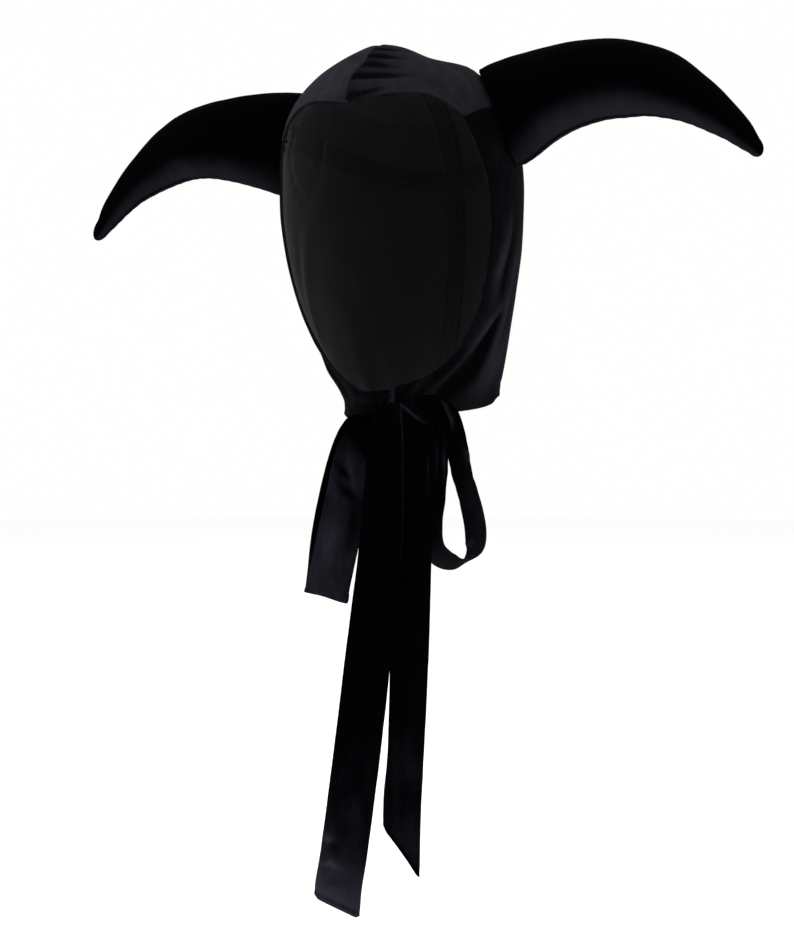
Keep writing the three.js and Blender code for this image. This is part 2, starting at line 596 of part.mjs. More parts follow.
// A flat ribbon along its rows, five points wide, with a slight cup across it.
function ribbonGeometry(rows, steps, cut = 0, cup = 1.2) {
  const last = rows.length - 1;
  const read = (at) => (column) => readColumn(rows, column, at);
  const centre = (at) => new THREE.Vector3(...["x", "y", "z"].map(read(at)));
  const marks = [0];
  const fine = 240;
  for (let i = 1; i <= fine; i += 1) {
    marks.push(marks[i - 1] + centre((last * i) / fine).distanceTo(centre((last * (i - 1)) / fine)));
  }
  const total = marks[fine];
  const atLength = (length) => {
    let i = 1;
    while (i < fine && marks[i] < length) i += 1;
    return (last * (i - 1 + (length - marks[i - 1]) / (marks[i] - marks[i - 1]))) / fine;
  };
  const across = [-1, -0.5, 0, 0.5, 1];
  const positions = [];
  const index = [];
  for (let i = 0; i <= steps; i += 1) {
    const faces = [[], []];
    across.forEach((share) => {
      const at = atLength((i / steps) * (total - (cut * (1 - share)) / 2));
      const along = centre(Math.min(at + 0.05, last)).sub(centre(Math.max(at - 0.05, 0))).normalize();
      const bearing = radians(readColumn(rows, "bearing", at));
      const rise = radians(readColumn(rows, "rise", at));
      const width = new THREE.Vector3(
        Math.cos(bearing) * Math.cos(rise), Math.sin(bearing) * Math.cos(rise), Math.sin(rise),
      );
      width.addScaledVector(along, -width.dot(along)).normalize();
      const normal = along.clone().cross(width).normalize();
      const half = (RIBBON_WIDTH / 2) * readColumn(rows, "width", at);
      const point = centre(at).addScaledVector(width, half * share);
      point.addScaledVector(normal, cup * (share * share - 0.4));
      faces[0].push(point.clone().addScaledVector(normal, RIBBON_THICKNESS / 2));
      faces[1].push(point.clone().addScaledVector(normal, -RIBBON_THICKNESS / 2));
    });
    [...faces[0], ...faces[1].reverse()].forEach((p) => positions.push(p.x, p.y, p.z));
  }
  const round = 2 * across.length;
  const quad = (a, b, c, d) => index.push(a, c, b, a, d, c);
  for (let i = 0; i < steps; i += 1) {
    for (let j = 0; j < round; j += 1) {
      const next = (j + 1) % round;
      quad(i * round + j, i * round + next, (i + 1) * round + next, (i + 1) * round + j);
    }
  }
  for (let j = 0; j < across.length - 1; j += 1) {
    const far = round - 1 - j;
    quad(j, far, far - 1, j + 1);
    const base = steps * round;
    quad(base + j, base + j + 1, base + far - 1, base + far);
  }
  return solidGeometry(positions, index);
}

// The knot: a cushion of wrapped ribbon. It reaches back to the hood's front corners, which it gathers.
const KNOT = { halfWidth: 12.5, halfHeight: 11, fore: 8.5, aft: 19, turns: 3 };
const KNOT_CLEARANCE = 0.3;
function knotGeometry(clearance = 0) {
  const geometry = new THREE.SphereGeometry(1, 20, 14);
  geometry.deleteAttribute("normal");
  geometry.deleteAttribute("uv");
  const place = geometry.getAttribute("position");
  for (let i = 0; i < place.count; i += 1) {
    const p = new THREE.Vector3().fromBufferAttribute(place, i);
    const squareness = 1 / (Math.abs(p.x) ** 3 + Math.abs(p.y) ** 3 + Math.abs(p.z) ** 3) ** (1 / 3);
    const wrap = 1 + 0.05 * Math.cos(KNOT.turns * Math.PI * (p.z + 0.35 * p.x));
    p.multiplyScalar(lerp(1, squareness, 0.6) * wrap);
    const pinch = 1 - 0.12 * Math.abs(p.z);
    place.setXYZ(
      i,
      p.x * (KNOT.halfWidth + clearance) * pinch,
      p.y * ((p.y > 0 ? KNOT.aft : KNOT.fore) + clearance),
      p.z * (KNOT.halfHeight + clearance),
    );
  }
  return solidGeometry(Array.from(place.array), Array.from(geometry.index.array));
}

const hood = new THREE.Group();
const addPiece = (parent, name, geometry, material) => {
  const mesh = new THREE.Mesh(geometry, material);
  mesh.name = name;
  parent.add(mesh);
  return mesh;
};

const trimForm = hoodForm(SEAT_GAP);
for (const [name, side] of [["left", 1], ["right", -1]]) {
  const crown = panelGeometry(side, CROWN_ROWS, CROWN_COLUMNS, crownPlace);
  addPiece(hood, `crown_${name}`, crown, crownVelvet).position.x = (side * SEAM_GAP) / 2;
  const panel = panelGeometry(side, SIDE_ROWS, SIDE_COLUMNS, (down, back) => sidePlace(side, down, back));
  addPiece(hood, `side_${name}`, panel, hoodVelvet).position.x = (side * SEAM_GAP) / 2;
  addPiece(hood, `horn_${name}`, hornGeometry(side, trimForm), hornVelvet);
}

const bow = new THREE.Group();
bow.position.set(BOW_CENTRE.x, BOW_CENTRE.y, BOW_CENTRE.z);
bow.rotation.z = radians(BOW_TURN);
hood.add(bow);
bow.updateMatrix();
const knot = solidFrom(knotGeometry().applyMatrix4(bow.matrix)).subtract(trimForm);
addPiece(hood, "bow_knot", geometryOf(knot), tieVelvet);
const knotHollow = solidFrom(knotGeometry(KNOT_CLEARANCE));
const intoKnot = (ribbon) => geometryOf(solidFrom(ribbon).subtract(knotHollow));
addPiece(bow, "bow_loop_right", intoKnot(ribbonGeometry(LOOP_RIGHT, 32)), tieVelvet);
addPiece(bow, "bow_loop_left", intoKnot(ribbonGeometry(LOOP_LEFT, 34)), tieVelvet);
addPiece(bow, "tie_tail_right", intoKnot(ribbonGeometry(TAIL_RIGHT, 24, TAIL_CUTS.right)), tieVelvet);
addPiece(bow, "tie_tail_left", intoKnot(ribbonGeometry(TAIL_LEFT, 22, TAIL_CUTS.left)), tieVelvet);

export default hood;
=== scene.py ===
"""A black stretch-velvet hood with stuffed horns and a bow of flat ties, dressed for its portrait.

Lengths are in millimetres while a piece is shaped, and each finished mesh is in metres, in the part's own
frame: +Z is up, the face looks along -Y, and +X is the wearer's left. Angles round the head are in degrees
from the middle of the face, with 180 at the nape, and are the same to both sides.
"""

import bisect
import functools
import logging
import math
from dataclasses import dataclass
from enum import Enum
from typing import Callable, Iterator, Sequence

import bmesh
import bpy
from mathutils import Matrix, Vector, noise

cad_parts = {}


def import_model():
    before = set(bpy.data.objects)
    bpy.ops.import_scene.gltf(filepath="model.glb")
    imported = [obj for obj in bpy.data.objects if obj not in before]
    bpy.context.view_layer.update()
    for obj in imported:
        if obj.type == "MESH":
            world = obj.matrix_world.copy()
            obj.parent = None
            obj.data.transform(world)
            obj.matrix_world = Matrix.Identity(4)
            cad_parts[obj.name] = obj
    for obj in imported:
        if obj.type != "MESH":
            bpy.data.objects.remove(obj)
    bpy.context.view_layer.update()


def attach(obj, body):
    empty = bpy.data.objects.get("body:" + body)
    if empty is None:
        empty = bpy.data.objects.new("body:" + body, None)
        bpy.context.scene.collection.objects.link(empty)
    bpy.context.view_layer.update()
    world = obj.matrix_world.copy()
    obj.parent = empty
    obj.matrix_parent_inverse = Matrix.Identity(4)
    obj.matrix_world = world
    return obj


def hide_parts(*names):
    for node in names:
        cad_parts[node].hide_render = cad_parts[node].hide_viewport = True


LOG = logging.getLogger("hood")
METRES = 0.001
WALL = 2.0
SEAM_GAP = 0.3
MM_PER_DEGREE = 1.22
HEAD_AXIS_Y = 10.0

Placing = Callable[[float, float], Vector]
FoldRows = tuple[tuple[float, float, float, float], ...]


def smoothstep(value: float, low: float, high: float) -> float:
    """Rise softly from 0 at low to 1 at high."""
    share = min(max((value - low) / (high - low), 0.0), 1.0)
    return share * share * (3.0 - 2.0 * share)


def bell(distance: float, reach: float) -> float:
    """Return 1 at no distance, and less than half beyond the reach."""
    return math.exp(-((distance / reach) ** 2))


def lerp(start: float, end: float, share: float) -> float:
    """Return the number that lies at a share of the way from start to end."""
    return start + (end - start) * share


def crowd_ends(share: float, crowding: float) -> float:
    """Crowd even steps towards both ends, where the seams are."""
    return share - crowding * math.sin(2.0 * math.pi * share) / (2.0 * math.pi)


def lumps(point: Vector, size: float, seed: float = 0.0) -> float:
    """Return smooth unevenness between about -1 and 1.

    Args:
        point: A place in millimetres.
        size: The distance from lump to lump, in millimetres.
        seed: A shift that gives another pattern.

    Returns:
        The height of the pattern at the place.
    """
    return noise.noise(point / size + Vector((seed, 2.3 * seed, -seed)))


def running_lengths(line: Sequence[Vector]) -> list[float]:
    """Measure along a line of points.

    Args:
        line: The points.

    Returns:
        The length from the first point to each of them.
    """
    total, lengths = 0.0, [0.0]
    for start, end in zip(line, line[1:]):
        total += (end - start).length
        lengths.append(total)
    return lengths


def last_where(holds: Callable[[float], bool], low: float, high: float, rounds: int) -> float:
    """Find the last number at which something holds, by halving a span.

    Args:
        holds: Says whether it holds at a number, which it does up to one place only.
        low: A number at which it holds.
        high: A number at which it doesn't.
        rounds: How often the span is halved.

    Returns:
        The highest number found at which it holds.
    """
    for _ in range(rounds):
        middle = (low + high) / 2
        low, high = (middle, high) if holds(middle) else (low, middle)
    return low


class Side(Enum):
    """The wearer's side that a piece belongs to, with the sign of its X."""

    LEFT = 1
    RIGHT = -1

    @property
    def word(self) -> str:
        """The side's name in a node's name."""
        return self.name.lower()


class Table:
    """Rows of named numbers, read between the rows on a smooth curve."""

    STEPS_A_ROW = 60

    def __init__(self, columns: str, rows: Sequence[Sequence[float]]) -> None:
        """Keep the rows by column.

        Args:
            columns: The columns' names, with spaces between them.
            rows: The rows, each with one number for a column.
        """
        self.columns = {name: [row[i] for row in rows] for i, name in enumerate(columns.split())}
        self.last = len(rows) - 1
        self.indexes: dict[str, tuple[list[float], list[float]]] = {}

    def read(self, column: str, at: float) -> float:
        """Read a column between its rows.

        Args:
            column: The column's name.
            at: A row number, which may lie between two rows.

        Returns:
            The number on a smooth curve through the rows.
        """
        values = self.columns[column]
        i = min(max(int(math.floor(at)), 0), self.last - 1)
        f = min(max(at - i, 0.0), 1.0)
        before, start, end, after = (values[min(max(k, 0), self.last)] for k in range(i - 1, i + 3))
        f2, f3 = f * f, f * f * f
        return (
            (2 * f3 - 3 * f2 + 1) * start
            + (f3 - 2 * f2 + f) * (end - before) / 2
            + (3 * f2 - 2 * f3) * end
            + (f3 - f2) * (after - start) / 2
        )

    def vector(self, at: float) -> Vector:
        """Read the columns x, y and z at a row number."""
        return Vector((self.read("x", at), self.read("y", at), self.read("z", at)))

    def row_where(self, key: str, value: float) -> float:
        """Find where a column that only rises or only falls has a value.

        Args:
            key: The column's name.
            value: The value to look for.

        Returns:
            The row number, which may lie between two rows.
        """
        sign = -1 if self.columns[key][0] > self.columns[key][-1] else 1
        if key not in self.indexes:
            steps = self.STEPS_A_ROW * self.last
            places = [self.last * i / steps for i in range(steps + 1)]
            self.indexes[key] = ([sign * self.read(key, at) for at in places], places)
        values, places = self.indexes[key]
        wanted = sign * value
        i = min(max(bisect.bisect_left(values, wanted), 1), len(values) - 1)
        span = values[i] - values[i - 1] or 1.0
        share = min(max((wanted - values[i - 1]) / span, 0.0), 1.0)
        return lerp(places[i - 1], places[i], share)

    def where(self, key: str, value: float, column: str) -> float:
        """Read one column where another has a value."""
        return self.read(column, self.row_where(key, value))


@dataclass(frozen=True)
class Fold:
    """A soft line on the cloth, given by rows of place across, height, depth and reach.

    A depth above zero stands out as a ridge, and one below zero is drawn in. The scale turns the place across
    into millimetres, and a fold with no side is on both.
    """

    side: Side | None
    scale: float
    rows: FoldRows

    def lift(self, across: float, z: float) -> float:
        """Shape the cloth near the fold.

        Args:
            across: The place across, in the fold's own measure.
            z: The height in millimetres.

        Returns:
            How far the fold lifts the cloth there, in millimetres.
        """
        nearest, lift = math.inf, 0.0
        for start, end in zip(self.rows, self.rows[1:]):
            ax, az = (across - start[0]) * self.scale, z - start[1]
            bx, bz = (end[0] - start[0]) * self.scale, end[1] - start[1]
            share = min(max((ax * bx + az * bz) / (bx * bx + bz * bz), 0.0), 1.0)
            gap = math.hypot(ax - bx * share, az - bz * share)
            if gap < nearest:
                nearest = gap
                lift = lerp(start[2], end[2], share) * bell(gap, lerp(start[3], end[3], share))
        return lift


def folds(side: Side | None, scale: float, *lines: FoldRows) -> tuple[Fold, ...]:
    """Make several folds of one side, or of both sides."""
    return tuple(Fold(side, scale, rows) for rows in lines)


class HoodForm:
    """The hood's outer face, read from level sections, with the folds that the cloth hangs in."""

    SECTIONS = Table(
        "z half mid front back power lean",
        [
            (3.0, 0, 0, 0, 0, 2.0, 0), (1.6, 13, 0, -22, 28, 2.0, 0), (-1.5, 25, 0, -34, 46, 2.0, 0),
            (-6, 36, 0, -42, 60, 2.1, 0), (-11.5, 48, 1, -49, 70, 2.2, 0), (-18, 58, 2, -54, 79, 2.3, 0),
            (-33, 68, 3, -65, 89, 2.4, 0), (-50, 73.5, 3, -73, 97, 2.4, 0),
            (-75, 76.5, 3, -78, 101, 2.2, 0.6), (-105, 77, 3, -75, 101, 2.1, 1.6),
            (-134, 74.5, 5, -63, 97, 2.1, 2), (-156, 70.5, 10, -56, 91, 2.1, 2),
            (-177, 65.5, 16, -51, 84, 1.9, 1.4), (-198, 60, 21, -43, 77, 1.7, 0),
            (-215, 57, 24, -44, 73, 1.6, 0), (-232, 56, 25, -50, 72, 1.6, 0), (-250, 56, 25, -52, 72, 1.6, 0),
        ],
    )
    FACE_EDGE = Table(
        "x z wide",
        [
            (0, -50, 0), (9, -47, 0), (20, -44, 0), (31, -42.5, 0), (41, -43.5, 0), (49, -47, 0),
            (56, -52, 0), (61, -58, 0), (64.6, -67, 0.6), (66.8, -78, 1.6), (68.6, -92, 2.6), (69.1, -107, 3),
            (68.4, -121, 3), (66.6, -134, 3), (63.6, -150, 2.8), (59.4, -165, 2.4), (54, -178, 1.4),
            (46.5, -191.2, 0.6), (37, -202, 0), (26, -209, 0), (13, -213.7, 0), (0, -216, 0),
        ],
    )
    TEMPLE_ROW = 7
    CROWN_SEAM = Table(
        "angle z",
        [
            (40, -62), (52, -57), (70, -47), (90, -44), (120, -46), (150, -51), (180, -54),
        ],
    )
    NECK_HEM = Table(
        "angle z",
        [
            (-20, -236), (15, -236), (40, -231), (66, -226.5), (84, -222), (96, -217.5), (112, -215.4),
            (140, -215), (180, -214),
        ],
    )
    LEFT_FOLDS = folds(
        Side.LEFT,
        MM_PER_DEGREE,
        # The deep fold from the cheek into the knot, the sharp ridge before it, and softer ones behind them.
        (
            (87, -163, 0, 2.5), (76.5, -179, -3.4, 3.2), (68.2, -191, -4.8, 4.4), (63, -200, -4.8, 5.2),
            (56, -208, -3.8, 5.2), (46, -218, -2, 4.8), (38, -223, 0, 4),
        ),
        (
            (91, -155, 0, 3), (83, -163, 1.1, 2.8), (73, -174, 1.6, 2.6), (62.5, -187, 1.7, 2.6),
            (54, -199, 1.7, 2.6), (46.5, -209, 1.4, 2.6), (40, -217, 0, 3),
        ),
        (
            (96, -118, 0, 5), (93.8, -137, 1.2, 4), (88.5, -164.5, 1.7, 3.3), (76, -192, 1.5, 3.6),
            (70, -205, 0, 5),
        ),
        ((88, -98, 0, 5), (84, -122, 1.5, 4.4), (77, -143, 1.7, 4.4), (73, -164, 0, 5)),
        ((91, -102, 0, 4), (89, -130, -1.4, 3.4), (84, -149, -1.3, 3.4), (82, -160, 0, 4)),
        ((98, -172, 0, 8), (84, -194, 1.6, 8), (72, -210, 1.2, 9), (62, -221, 0, 9)),
        ((62, -185, 0, 2.4), (54.5, -196, -1.1, 2.4), (47, -204, -1.1, 2.4), (40, -211, 0, 2.4)),
        ((105, -86, 0, 6), (103, -125, 1.8, 6), (101, -170, 1, 7), (98, -190, 0, 8)),
    )
    RIGHT_FOLDS = folds(
        Side.RIGHT,
        MM_PER_DEGREE,
        # This side hangs in fewer and softer folds.
        ((84, -168, 0, 4), (72, -186, -2.6, 4.4), (58, -201, -3.2, 5), (42, -215, -2.4, 5), (24, -224, 0, 5)),
        ((92, -160, 0, 5), (80, -180, 1.5, 4.6), (66, -199, 1.5, 5), (50, -215, 0, 5)),
        ((96, -88, 0, 5), (92, -128, 1.5, 5), (88, -162, 1.2, 5), (84, -182, 0, 6)),
        ((90, -92, 0, 4), (86, -128, -1.2, 4.4), (82, -158, 0, 4.4)),
    )
    NAPE_FOLDS = folds(
        None,
        MM_PER_DEGREE,
        ((116, -138, 0, 7), (119, -170, 1.5, 7), (121, -216, 1.8, 8)),
        ((134, -150, 0, 8), (132, -182, -1.8, 8), (129, -214, -2.4, 9)),
        ((160, -156, 0, 8), (158, -190, 1.6, 8), (155, -214, 1.8, 9)),
        ((172, -170, 0, 6), (171, -192, -1, 6), (170, -214, -1.4, 7)),
    )
    FOLDS = LEFT_FOLDS + RIGHT_FOLDS + NAPE_FOLDS
    GATHERS = Table(
        "z to_z length depth reach",
        [
            (-46, -39, 26, -1.9, 3.0), (-29.8, -30.6, 38, -2.6, 2.1), (-20, -25, 27, -2.0, 1.7),
            (-14, -17.5, 27, -1.8, 1.6), (-7.6, -9.5, 26, -1.5, 1.5),
        ],
    )
    DRIFT = Table(
        "z step",
        [
            (0, 0), (-16, 0), (-22, -2.5), (-28, -5), (-36, -5), (-44, -4.6), (-47.5, -2.5), (-51, 0),
            (-60, 0),
        ],
    )
    DRIFT_REACH, DRIFT_FADE = 26.0, (-40, 10)
    GATHERS_END_Y = 10
    KEEL_HEIGHT, KEEL_REACH, KEEL_FADE = 1.8, 13.0, (-30, 45)
    SLUMP_X, SLUMP_DEPTH, SLUMP_REACH, SLUMP_FADE = 33.0, -4.6, 20.0, (5, 70)
    RIGHT_TUCK, TUCK_FADE = 11.0, (195, 228)
    # Towards the top the face's normal turns upwards, and at its very top no fold lifts it.
    TOP_TURNS_UP, TOP_FADE, LEVEL_ROWS = 0.016, (-60, 2), 1.2
    CROWN_ROW_POWER = 0.85
    SEAM_SETTLES_AT = 75
    # The face opening's edge takes this share of a side panel's front, and the rest goes down to the hem.
    CHIN_SHARE = 0.9
    LAST_ROW = {Side.LEFT: 20.0, Side.RIGHT: 21.0}
    # Past this share the edge on the wearer's right runs under the chin, to where the other one ends.
    RIGHT_TURN_SHARE, RIGHT_MEETING_X = 0.88, -16.0
    CHIN_Z, CHIN_RISE, CHIN_HALF = -216, 2.5, 13
    # Past the chin that edge rises again, so the rows behind it are led under it.
    CHIN_SAG, SAG_ROWS, SAG_BEHIND, SAG_FADE = 9.0, (0.8, 0.93), 0.06, (0.4, 0.9)

    def __init__(self) -> None:
        """Find the temple, where crown seam and face edge meet."""
        self.temple = self.face_edge_at(self.TEMPLE_ROW)

    def row_at(self, z: float) -> float:
        """Return the row number of the section at a height."""
        return self.SECTIONS.row_where("z", z)

    def angle_at(self, x: float, z: float) -> float:
        """Find the angle at which a section has a half-width.

        Args:
            x: The half-width in millimetres.
            z: The section's height.

        Returns:
            The angle, with the sign of x.
        """
        row = self.row_at(z)
        share = abs(x) / self.SECTIONS.read("half", row)
        power = self.SECTIONS.read("power", row)
        return math.copysign(math.degrees(math.asin(min(share ** (power / 2), 1.0))), x)

    @functools.lru_cache(maxsize=None)
    def face_edge_at(self, row: float, side: Side = Side.RIGHT) -> tuple[float, float]:
        """Read the edge of the face opening.

        Args:
            row: A row number, from the brow's middle to the chin.
            side: The wearer's side.

        Returns:
            The edge's angle and height.
        """
        wide = self.FACE_EDGE.read("wide", row) if side is Side.LEFT else 0.0
        x, z = self.FACE_EDGE.read("x", row) + wide, self.FACE_EDGE.read("z", row)
        return self.angle_at(x, z), z

    def seam_z(self, angle: float) -> float:
        """Return the height of the crown seam at an angle.

        Args:
            angle: Degrees from the face.

        Returns:
            The height, led to the edge of the face opening at the temple.
        """
        angle_0, z_0 = self.temple
        z = self.CROWN_SEAM.where("angle", angle, "z")
        shift = z_0 - self.CROWN_SEAM.where("angle", angle_0, "z")
        return z + shift * (1.0 - smoothstep(angle, angle_0, self.SEAM_SETTLES_AT))

    def hem_z(self, angle: float) -> float:
        """Return the height of the neck hem at an angle."""
        return self.NECK_HEM.where("angle", angle, "z")

    @functools.lru_cache(maxsize=None)
    def brow_z(self, angle: float) -> float:
        """Find the height of the face edge over the brow.

        Args:
            angle: Degrees from the face, up to the temple.

        Returns:
            The height in millimetres.
        """
        row = last_where(lambda at: self.face_edge_at(at)[0] < angle, 0.0, float(self.TEMPLE_ROW), rounds=30)
        return self.face_edge_at(row)[1]

    def half_width(self, row: float, z: float, sign: float) -> float:
        """Return the half-width on one side, with the hood's lean and the tuck at the neck."""
        half = self.SECTIONS.read("half", row) - sign * self.SECTIONS.read("lean", row)
        return half - (self.RIGHT_TUCK * smoothstep(-z, *self.TUCK_FADE) if sign < 0 else 0.0)

    def fold_lift(self, side: Side, angle: float, z: float) -> float:
        """Return how far all the folds lift the cloth at an angle and height on one side."""
        return sum(fold.lift(angle, z) for fold in self.FOLDS if fold.side in (None, side))

    def brow_lift(self, side: Side, x: float, y: float, z: float) -> float:
        """Shape the crown's ridge, and on the wearer's left its slump and gathers.

        Args:
            side: The wearer's side.
            x: Distance from the middle.
            y: Depth of the place.
            z: Height of the place.

        Returns:
            The lift in millimetres.
        """
        fore = 1.0 - smoothstep(y, *self.KEEL_FADE)
        lift = self.KEEL_HEIGHT * fore * math.exp(-abs(x) / self.KEEL_REACH)
        if side is Side.RIGHT:
            return lift
        fore = 1.0 - smoothstep(y, *self.SLUMP_FADE)
        lift += self.SLUMP_DEPTH * fore * bell(x - self.SLUMP_X, self.SLUMP_REACH)
        return lift + (self.gather_lift(x, z) if y < self.GATHERS_END_Y else 0.0)

    def gather_lift(self, x: float, z: float) -> float:
        """Shape the gathers that run out of the middle seam on the wearer's left.

        Args:
            x: Distance from the seam.
            z: Height of the place.

        Returns:
            The lift in millimetres, below zero in a gather.
        """
        lift = 0.0
        for i in range(self.GATHERS.last + 1):
            read = functools.partial(self.GATHERS.read, at=i)
            run = min(max(x / read("length"), 0.0), 1.0)
            line = lerp(read("z"), read("to_z"), run)
            fade = (1.0 - smoothstep(run, 0.15, 1.0)) * smoothstep(x, -0.5, 0.8)
            reach = read("reach") * (1.0 - 0.45 * run)
            lift += read("depth") * fade * bell(z - line, reach)
        return lift

    def drift(self, x: float, y: float, z: float) -> float:
        """Return how far the gathers pull the middle seam sideways over the brow."""
        fore = 1.0 - smoothstep(y, *self.DRIFT_FADE)
        return self.DRIFT.where("z", z, "step") * fore * bell(x, self.DRIFT_REACH)

    def point(self, side: Side, angle: float, row: float, offset: float = 0.0) -> Vector:
        """Return a point of the outer face.

        Args:
            side: The side that the angle counts from.
            angle: Degrees round the head, 0 at the face and 180 at the nape.
            row: Row number in the table of sections.
            offset: How far the point stands off the face.

        Returns:
            The point, in millimetres.
        """
        sign = side.value
        read = functools.partial(self.SECTIONS.read, at=row)
        z, mid = read("z"), read("mid")
        half = self.half_width(row, z, sign)
        turn = math.radians(angle)
        is_front = math.cos(turn) >= 0
        depth = mid - read("front") if is_front else read("back") - mid
        power = read("power") if is_front else 2.0
        fore = abs(math.cos(turn)) ** (2 / power)
        x = math.copysign(half * abs(math.sin(turn)) ** (2 / power), math.sin(turn))
        y = mid - depth * fore if is_front else mid + depth * fore
        upward = self.TOP_TURNS_UP * smoothstep(z, *self.TOP_FADE)
        outward = Vector((x / max(half, 1.0) ** 2, (y - mid) / max(depth, 1.0) ** 2, upward)).normalized()
        on_side = Side(-sign) if angle < 0 else side
        lift = self.fold_lift(on_side, abs(angle), z) + self.brow_lift(on_side, abs(x), y, z) + offset
        lift *= smoothstep(row, 0, self.LEVEL_ROWS)
        across = sign * (x + outward.x * lift)
        return Vector((across + self.drift(across, y, z), y + outward.y * lift, z + outward.z * lift))

    def level(self, point: Vector) -> float:
        """Say whether a point is inside the smooth outer face.

        Args:
            point: The place in millimetres.

        Returns:
            1 on the face, less inside it and more outside it.
        """
        row = self.row_at(point.z)
        if point.z > self.SECTIONS.read("z", 0):
            return 2.0
        half = max(self.half_width(row, point.z, math.copysign(1.0, point.x)), 0.5)
        mid = self.SECTIONS.read("mid", row)
        is_front = point.y < mid
        depth = mid - self.SECTIONS.read("front", row) if is_front else self.SECTIONS.read("back", row) - mid
        power = self.SECTIONS.read("power", row) if is_front else 2.0
        total = (abs(point.x) / half) ** power + (abs(point.y - mid) / max(depth, 0.5)) ** power
        return total ** (1 / power)

    def onto(self, point: Vector, clearance: float) -> Vector:
        """Bring a point level onto the outer face.

        Args:
            point: The place in millimetres.
            clearance: How far off the face it ends.

        Returns:
            The new place.
        """
        mid = self.SECTIONS.read("mid", self.row_at(point.z))
        scale = 1.0 / max(self.level(point), 0.05)
        flat = Vector((point.x * scale, (point.y - mid) * scale, 0.0))
        flat += flat.normalized() * clearance
        return Vector((flat.x, flat.y + mid, point.z))

    def crown_place(self, down: float, round_share: float, brow_share: float) -> tuple[float, float]:
        """Find a place on the crown panel.

        Args:
            down: Share of the way from the top to the panel's edge.
            round_share: Share of the way round, from the brow's middle to the nape.
            brow_share: The share that lies over the brow, up to the temple.

        Returns:
            The angle and the row number of the place.
        """
        angle_0 = self.temple[0]
        if round_share <= brow_share:
            angle = round_share / brow_share * angle_0
            edge = self.brow_z(round(angle, 3))
        else:
            angle = lerp(angle_0, 180.0, (round_share - brow_share) / (1.0 - brow_share))
            edge = self.seam_z(angle)
        return angle, self.row_at(edge) * down**self.CROWN_ROW_POWER

    def chin_z(self, x: float) -> float:
        """Return the height of the face edge under the chin at a distance from the middle."""
        return self.CHIN_Z + self.CHIN_RISE * (x / self.CHIN_HALF) ** 2

    def side_front(self, side: Side, share: float) -> tuple[float, float]:
        """Find a place on a side panel's front edge.

        Args:
            side: The wearer's side.
            share: Share of the way from the temple to the knot, and at the end down to the hem.

        Returns:
            The place's angle and height.
        """
        to_chin = min(max(share / self.CHIN_SHARE, 0.0), 1.0)
        angle, z = self.face_edge_at(lerp(self.TEMPLE_ROW, self.LAST_ROW[side], to_chin), side)
        if side is Side.RIGHT and to_chin > self.RIGHT_TURN_SHARE:
            past = (to_chin - self.RIGHT_TURN_SHARE) / (1.0 - self.RIGHT_TURN_SHARE)
            row = lerp(self.TEMPLE_ROW, self.LAST_ROW[side], self.RIGHT_TURN_SHARE)
            start_x, start_z = self.FACE_EDGE.read("x", row), self.FACE_EDGE.read("z", row)
            x = lerp(start_x, self.RIGHT_MEETING_X, past)
            step = start_z - self.chin_z(start_x)
            z = self.chin_z(max(x, 0.0)) + step * (1.0 - past)
            angle = self.angle_at(x, z)
        if share > self.CHIN_SHARE:
            z = lerp(z, self.hem_z(angle), (share - self.CHIN_SHARE) / (1 - self.CHIN_SHARE))
        return angle, z

    def side_place(self, side: Side, down: float, back: float) -> tuple[float, float]:
        """Find a place on a side panel, blended from its four edges.

        Args:
            side: The wearer's side.
            down: Share of the way from the crown seam to the hem.
            back: Share of the way from the front edge to the nape.

        Returns:
            The angle and the row number of the place.
        """
        fore_angle, fore_z = self.side_front(side, down)
        end_angle, end_z = self.side_front(side, 1.0)
        temple_angle = self.temple[0]
        top_angle = lerp(temple_angle, 180.0, back)
        hem_angle = lerp(end_angle, 180.0, back)
        top_180, hem_180 = self.seam_z(180.0) - SEAM_GAP, self.hem_z(180.0)
        top_z, hem_z = self.seam_z(top_angle) - SEAM_GAP, self.hem_z(hem_angle)
        temple_z = self.seam_z(temple_angle) - SEAM_GAP

        def blend(edges: Sequence[float], corners: Sequence[float]) -> float:
            """Blend the edges into the inside of the panel.

            Args:
                edges: Values at the top, the hem, the front and the nape.
                corners: Values at the temple, the nape's top, the knot and the nape's foot.

            Returns:
                The value at the place.
            """
            near = (1 - back) * corners[0] + back * corners[1]
            far = (1 - back) * corners[2] + back * corners[3]
            total = (1 - down) * edges[0] + down * edges[1] + (1 - back) * edges[2] + back * edges[3]
            return total - (1 - down) * near - down * far

        angle = 180.0
        if back < 1.0:
            ends = (temple_angle, 180.0, end_angle, 180.0)
            angle = blend((top_angle, hem_angle, fore_angle, 180.0), ends)
        z = blend((top_z, hem_z, fore_z, lerp(top_180, hem_180, down)), (temple_z, top_180, end_z, hem_180))
        if side is Side.RIGHT:
            low_rows = smoothstep(down, *self.SAG_ROWS) * (1.0 - smoothstep(down, self.SAG_ROWS[1], 1.0))
            behind = smoothstep(back, 0.0, self.SAG_BEHIND)
            z -= self.CHIN_SAG * low_rows * behind * (1.0 - smoothstep(back, *self.SAG_FADE))
        return angle, self.row_at(z)


@dataclass
class Spot:
    """A place on a cloth grid, with its distances along the cloth to the four edges, in millimetres."""

    down: float
    across: float
    point: Vector
    normal: Vector
    to_top: float
    to_foot: float
    to_fore: float
    to_aft: float


